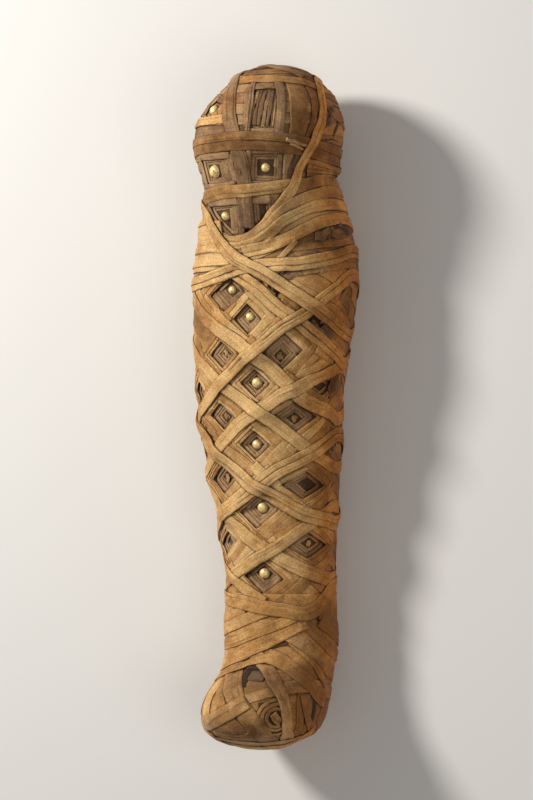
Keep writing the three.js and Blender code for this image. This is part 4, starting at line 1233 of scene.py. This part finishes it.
# Torn shreds of older linen, loose on the right shoulder and in the gaps of the right side:
# turn, along, how far they are strewn both ways, their angle and how many there are.
SHREDS = [[24, 164, 16, 9, 14, 9], [46, 172, 12, 8, 20, 5], [52, 98, 12, 12, -42, 9], [62, 209, 14, 5, 18, 5],
          [80, 130, 8, 16, 70, 6], [74, -53, 7, 8, 40, 6], [76, 24, 6, 9, 60, 4]]
shred_chance = np.random.default_rng(71)
shreds = []
for turn, along, turn_reach, along_reach, angle, count in SHREDS:
    for _ in range(count):
        middle = form(turn + shred_chance.uniform(-1, 1) * turn_reach,
                      along + shred_chance.uniform(-1, 1) * along_reach)
        right, up = tangent_axes(middle)
        lean = math.radians(angle + shred_chance.uniform(-16, 16))
        run = np.arange(-12, 12.1, 1.5)[:, None] * shred_chance.uniform(0.5, 1.2)
        sway = 0.8 * np.sin(run * shred_chance.uniform(0.1, 0.3))
        line = middle + run * (math.cos(lean) * right + math.sin(lean) * up)
        line = line + sway * (math.cos(lean) * up - math.sin(lean) * right)
        shreds += lay_strip(shred_chance, line, shred_chance.uniform(4.0, 10.0), thick=0.35,
                            fray=1.6, rim=0.35, tension=8, lanes=NARROW_LANES,
                            tone=shred_chance.uniform(-0.9, 0.3))
laid_piece("torn_shreds", shreds, "grey_linen", "coffer_net_outer")

# The outer turns: pale bandages that wind once round the body, rising or falling to the
# right, the deepest first. Some have a second, narrower one laid along them, which is given
# by its width and its distance aside.
OUTER_TURNS = {
    "falling_turn_3": [16, None, [-135, 128], [-90, 144], [-60, 127], [-40, 108], [-20, 91], [-5, 75],
                       [5, 60], [15, 47], [25, 33], [40, 12], [55, 2], [70, -5], [90, -13],
                       [135, 14], [180, 66]],
    "rising_turn_3": [15, None, [-135, -70], [-90, -88], [-60, -75], [-40, -58], [-25, -43],
                      [-5, -16], [15, 5], [25, 15], [45, 28], [60, 36], [90, 48], [135, 20],
                      [180, -28]],
    "falling_turn_4": [14, None, [-135, 70], [-90, 86], [-60, 68], [-40, 50], [-15, 22], [5, -3], [25, -27],
                       [45, -48], [60, -60], [90, -72], [135, -50], [180, 2]],
    "falling_turn_2": [15, (7, 4), [-135, 200], [-90, 216], [-55, 204], [-35, 184], [-20, 168], [-5, 152],
                       [5, 137], [15, 120], [30, 104], [45, 88], [60, 74], [75, 62], [90, 52], [135, 78],
                       [180, 136]],
    "rising_turn_2": [14, (8, -3.4), [-135, -8], [-90, -28], [-60, -13], [-35, 11], [-20, 29],
                      [0, 60], [20, 93], [38, 112], [60, 138], [90, 158], [135, 120], [180, 62]],
    "falling_turn_6": [16, None, [-135, -92], [-90, -84], [-50, -113], [-35, -130], [-20, -145], [-5, -160],
                       [15, -178], [30, -188], [50, -197], [90, -205], [135, -190], [180, -142]],
    "rising_turn_4": [17, (9, -4), [-135, -138], [-90, -155], [-55, -138], [-25, -117], [0, -95], [15, -78],
                      [35, -64], [60, -47], [90, -32], [135, -55], [180, -98]],
    "rising_turn_5": [14, None, [-135, -208], [-90, -219], [-45, -205], [-15, -187], [0, -176], [20, -160],
                      [43, -143], [70, -126], [90, -118], [135, -138], [180, -178]],
    "falling_turn_5": [17, (9, 4), [-135, -12], [-90, -3], [-60, -24], [-45, -42], [-30, -59], [-10, -82],
                       [0, -94], [20, -111], [40, -125], [70, -134], [100, -138], [135, -118], [180, -66]],
    "rising_turn_1": [15, (8, 3.5), [-180, 160], [-90, 147], [-60, 148], [-40, 151], [-25, 156], [0, 166],
                      [30, 169], [60, 177], [90, 186], [135, 176]],
    "falling_turn_1": [15, (8.5, 3.6), [-135, 236], [-90, 246], [-60, 238], [-42, 226], [-30, 208],
                       [-20, 191], [-10, 176], [0, 165], [20, 142], [40, 122], [60, 105], [80, 91],
                       [100, 86], [135, 110], [180, 170]],
}
for turn_name, (width, second, *path) in OUTER_TURNS.items():
    strips = [strip(width, *path, closed=True, folds=2)]
    if second:
        strips.append(strip(second[0], *path, closed=True, aside=second[1], thick=0.7))
    band("linen_" + turn_name, "pale_linen", [outer_frames, falling_ground], *strips)
    if turn_name == "falling_turn_5":
        band("left_shoulder_cloth", "pale_linen", [shoulder_ground],
             strip(9, [-150, 158], [-90, 165], [-60, 166], [-35, 167], [-12, 170], folds=0, tone=0.1),
             strip(18, [-150, 166], [-90, 174], [-60, 176], [-35, 177], [-12, 177], tone=0.4),
             strip(37, [-140, 193], [-90, 201], [-60, 202], [-40, 203], [-22, 202],
                   folds=3, tone=0.35),
             strip(11, [-120, 216], [-90, 221], [-60, 222], [-45, 223], folds=0, tone=0.1),
             replaced="coffer_net_outer", held="laid")

# Dark cloth of the layer below, cut in small pieces, which shows where the bandages of the
# feet and shins part.
band("gap_cloths", "dark_linen", [leg_wrap],
     strip(22, [-12, -314], [-2, -314], [10, -315], folds=0, fray=0.8, tone=1.5),
     strip(7, [-8, -306], [-8, -316], [-4, -327], folds=0, fray=1.0, tone=-1.2),
     strip(7, [-10, -309], [-2, -308], [6, -307], folds=0, fray=1.0, tone=-0.8),
     strip(9, [6, -281], [14, -279], [24, -276], folds=0, tone=0.2),
     strip(13, [56, -248], [63, -246], [70, -243], folds=0, tone=0.3),
     strip(8, [76, -342], [78, -358], [78, -376], folds=0, tone=-0.5),
     strip(34, [31, -344], [33, -362], [35, -382], folds=0, tone=-0.6),
     replaced="foot_cloth", held="laid")

# Bandages of the feet: over the instep, round the toes and under the soles. Between the two
# that cross the toes, short strips are coiled in an oval, which is open to the right.
COIL_TURN = 36
COIL_ALONG = -362
COIL_SQUEEZE = 0.8
COIL_ANGLES = np.radians([55, 85, 115, 150, 180, 210, 245, 275, 300])
coil = []
for radius, tone in ((21, -0.2), (15.8, -0.5), (10.8, -0.3)):
    path = np.stack([COIL_TURN + radius * COIL_SQUEEZE * np.cos(COIL_ANGLES),
                     COIL_ALONG + radius * np.sin(COIL_ANGLES)], axis=-1)
    coil.append(strip(3.0, *path, folds=0, tone=tone, mark=2.0))
band("foot_under_strips", "pale_linen", [leg_wrap], *coil,
     strip(9, [33, -357], [36, -362], [40, -368], folds=0, tone=-0.5, mark=2.0),
     strip(20, [-44, -316], [-42, -336], [-38, -356], [-34, -372], tone=0.1),
     strip(17, [-66, -326], [-68, -345], [-66, -366], tone=-0.1),
     strip(13, [-32, -318], [-24, -336], [-14, -350], [-5, -364], [3, -378], [10, -392],
           tone=-0.6),
     strip(12, [-30, -384], [-10, -388], [6, -386], [16, -380], tone=-0.5),
     strip(12, [57, -334], [60, -352], [62, -370], [60, -388], tone=-0.8),
     strip(8, [67, -338], [70, -354], [71, -370], [70, -386], tone=-0.8),
     strip(13, [88, -340], [91, -358], [89, -378], tone=-0.9),
     replaced="foot_cloth", held="laid")
for foot_name, width, tone, *path in [
    ["foot_side_strip", 12, -0.2, [60, -338], [66, -356], [72, -370], [84, -383]],
    ["foot_cross_band", 16, 0.4, [-4, -345], [10, -337], [28, -331], [50, -328], [68, -330],
     [92, -340], [130, -346]],
    ["toe_band", 22, (0.3, -0.8), [-30, -304], [-22, -316], [-12, -330], [0, -344], [9, -358],
     [17, -372], [24, -386], [32, -396], [50, -403]],
    ["foot_side_band", 19, 0.5, [-135, -376], [-90, -379], [-50, -376], [-30, -370], [-12, -360],
     [0, -350], [7, -343]],
    ["instep_band", 16, 0.3, [-8, -292], [4, -304], [18, -317], [30, -329], [41, -342], [46, -356],
     [48, -372], [50, -385], [58, -395], [80, -403], [150, -404], [168, -397]],
    ["sole_band", 11, 0.2, [-95, -388], [-60, -391], [-30, -394], [0, -396], [30, -395], [60, -392],
     [95, -388]],
]:
    band("linen_" + foot_name, "warm_linen", [leg_wrap], strip(width, *path, tone=tone, folds=2))
# Four strips close the soles from side to side. Like the strips under the bands of the
# feet, they are part of the cloth of the feet.
band("sole_strips", "pale_linen", [leg_wrap],
     strip(22, [-86, -384], [-80, -392], [-46, -403], [0, -405.5], [46, -403], [80, -392],
           [86, -384], folds=2, tone=0.1),
     strip(21, [-98, -384], [-106, -392], [-140, -403], [-180, -405.5], [-220, -403],
           [-254, -392], [-262, -384], folds=2, tone=-0.2),
     strip(22, [-126, -382], [-138, -391], [-160, -397], [-180, -398.5], [-200, -397],
           [-222, -391], [-234, -382], folds=2),
     strip(15, [-46, -384], [-58, -396], [-88, -402], [-120, -402], [-140, -396], [-152, -384],
           tone=-0.1),
     replaced="foot_cloth", held="laid")

# Bandages of the ankles and shins, which hold the upper ends of those of the feet. The
# ankle turn comes last and closes the wrapping.
shin_rest = [leg_wrap, falling_ground]
band("shin_under_strips", "pale_linen", [leg_wrap],
     strip(13, [-135, -262], [-90, -258], [-50, -252], [-20, -243], tone=-0.1),
     strip(13, [-135, -276], [-90, -272], [-55, -266], [-30, -258], [-5, -246], [12, -238], tone=0.1),
     strip(15, [130, -270], [95, -262], [75, -252], [62, -244], folds=2, tone=-0.5),
     strip(14, [135, -286], [110, -280], [85, -268], [60, -254], folds=2, tone=-0.4),
     strip(12, [26, -276], [42, -290], [58, -303], [72, -315], [86, -330], tone=-0.2),
     replaced="foot_cloth")
for shin_name, slot, replaced, width, *path in [
    ["falling_strip_7", "pale_linen", None, 14, [-84, -176], [-60, -190], [-40, -203], [-20, -217],
     [0, -232]],
    ["calf_band_1", "warm_linen", None, 16, [20, -268], [40, -281], [52, -290], [66, -300], [80, -310],
     [100, -320], [135, -328]],
    ["calf_band_2", "warm_linen", None, 13, [40, -256], [62, -275], [77, -287], [95, -296], [130, -302]],
    ["shin_band_3", "pale_linen", None, 12, [13, -293], [0, -299], [-15, -305], [-32, -313], [-60, -321],
     [-90, -325], [-135, -326]],
    ["instep_cloth", "pale_linen", "foot_cloth", 19, [4, -295], [16, -299], [30, -306], [45, -315],
     [60, -325], [75, -337], [90, -350]],
    ["shin_band_2", "pale_linen", None, 16, [42, -254], [20, -266], [5, -276], [-10, -286], [-30, -298],
     [-55, -306], [-90, -310], [-135, -310]],
    ["shin_band_1", "pale_linen", None, 12, [30, -248], [10, -259], [-10, -269], [-30, -278], [-55, -284],
     [-90, -288], [-135, -290]],
]:
    band("linen_" + shin_name, slot, shin_rest, strip(width, *path), replaced=replaced)
band("linen_ankle_turn", "pale_linen", shin_rest,
     strip(16, [-180, -222], [-90, -226], [-40, -231], [-20, -233], [0, -238], [20, -241],
           [40, -245], [55, -240], [70, -228], [90, -214], [135, -212], closed=True, folds=2))

# Painted shade darkens the linen beside every edge that stands over its neighbours, where shadow falls.
# It also darkens and browns the right side, away from the lamp. Resin browns the brow, and the
# linen has aged unevenly. A patch is its turn, along, reach both ways and how much paler it is.
SHADE_BLUR_CELLS = 5
LEAST_SHADE_DEPTH = 0.1
FULL_SHADE_DEPTH = 1.5
# The right side is painted darker and browner as shade, fading out near the crown and sole.
NECK = 214
SIDE_SHADE_FROM = 28
SIDE_SHADE_RISE = 55
SIDE_SHADE_TO = 225
SIDE_SHADE_FALL = 60
SIDE_SHADE_END_GAP = 2
SIDE_SHADE_END_FADE = 16
BROW_RESIN = [-22, 362, 16, 26, 0.6]
# Most patches are stains. Some darker ones on the right, as on the instep, darken linen that lies in shade
# and are painted shade.
STAINS_AND_SHADE_PATCHES = [
    [-50, 185, 30, 22, -0.15], [5, 30, 40, 110, 0.45], [-38, 108, 22, 32, -1.2], [-75, 20, 22, 120, 0.4],
    [30, 226, 30, 16, 0.6], [20, 378, 10, 16, -0.5], [56, 197, 30, 20, -0.8], [58, 100, 14, 20, -0.6],
    [13, -376, 8, 12, -1.0], [60, -95, 14, 14, -0.5], [-62, 10, 20, 40, -0.25], [0, -290, 90, 55, -0.75],
    [-30, -365, 45, 30, -0.45], [-28, 252, 24, 10, -0.6], [20, 256, 16, 9, 0.4], [0, -240, 70, 24, -0.6],
    [22, -325, 26, 18, -1.1], [50, -314, 18, 16, -0.9], [12, 275, 14, 20, -0.3], [40, -370, 60, 40, -0.45],
    [-60, 95, 22, 30, -0.5],
]
smooth_map = laid_map.astype(float)
for _ in range(3):
    for axis in (0, 1):
        shifts = range(-SHADE_BLUR_CELLS // 2, SHADE_BLUR_CELLS // 2 + 1)
        parts = [np.roll(smooth_map, shift, axis=axis) for shift in shifts]
        smooth_map = sum(parts) / len(parts)


def patch_at(turn, along, blotch):
    """Amount of a patch at places on the body, which fades outwards from its middle."""
    patch_turn, patch_along, turn_reach, along_reach, amount = blotch
    away = ((turn - patch_turn) / turn_reach) ** 2 + ((along - patch_along) / along_reach) ** 2
    return amount * np.exp(-away)


def shade_and_resin_at(turn, along):
    """How much the linen is browned: painted shade on the right side, away from the lamp, and resin on the
    brow.
    """
    round_right = np.where(turn < -90, turn + 360, turn)
    right = np.clip((round_right - SIDE_SHADE_FROM) / SIDE_SHADE_RISE, 0, 1)
    right = right * np.clip((SIDE_SHADE_TO - round_right) / SIDE_SHADE_FALL, 0, 1)
    to_end = np.minimum(along - SOLE_END, CROWN_END - along) - SIDE_SHADE_END_GAP
    right_side = right * right * (3 - 2 * right) * np.clip(to_end / SIDE_SHADE_END_FADE, 0, 1)
    return np.clip(right_side + patch_at(turn, along, BROW_RESIN), 0, 1)


def age_and_shade_at(turn, along):
    """How much darker (below 0) or paler the linen is at places on the body: aged and stained, with painted
    shade on the right side.
    """
    age_and_shade = np.where(along > NECK, -0.25, -0.80) * shade_and_resin_at(turn, along)
    for blotch in STAINS_AND_SHADE_PATCHES:
        age_and_shade = age_and_shade + patch_at(turn, along, blotch)
    return age_and_shade


for piece in cloth_pieces:
    attributes = piece.data.attributes
    found = {}
    for key in ("turn", "along", "height", "tone"):
        found[key] = np.zeros(len(piece.data.vertices), dtype=np.float32)
        attributes[key].data.foreach_get("value", found[key])
        attributes.remove(attributes[key])
    turn, along, height, tone = found.values()
    # Painted shade: how far the blurred map of laid heights stands over a point darkens it, as shade in
    # recesses and under edges.
    overhang = laid_at(turn, along, smooth_map) - height
    wear_and_shade = {
        "tone": tone + age_and_shade_at(turn, along),
        "side_shade_and_resin": shade_and_resin_at(turn, along),
        "recess_shade": np.clip((overhang - LEAST_SHADE_DEPTH) / FULL_SHADE_DEPTH, 0, 1),
    }
    for key, numbers in wear_and_shade.items():
        layer = attributes.new(key, "FLOAT", "POINT")
        layer.data.foreach_set("value", numbers.astype(np.float32))
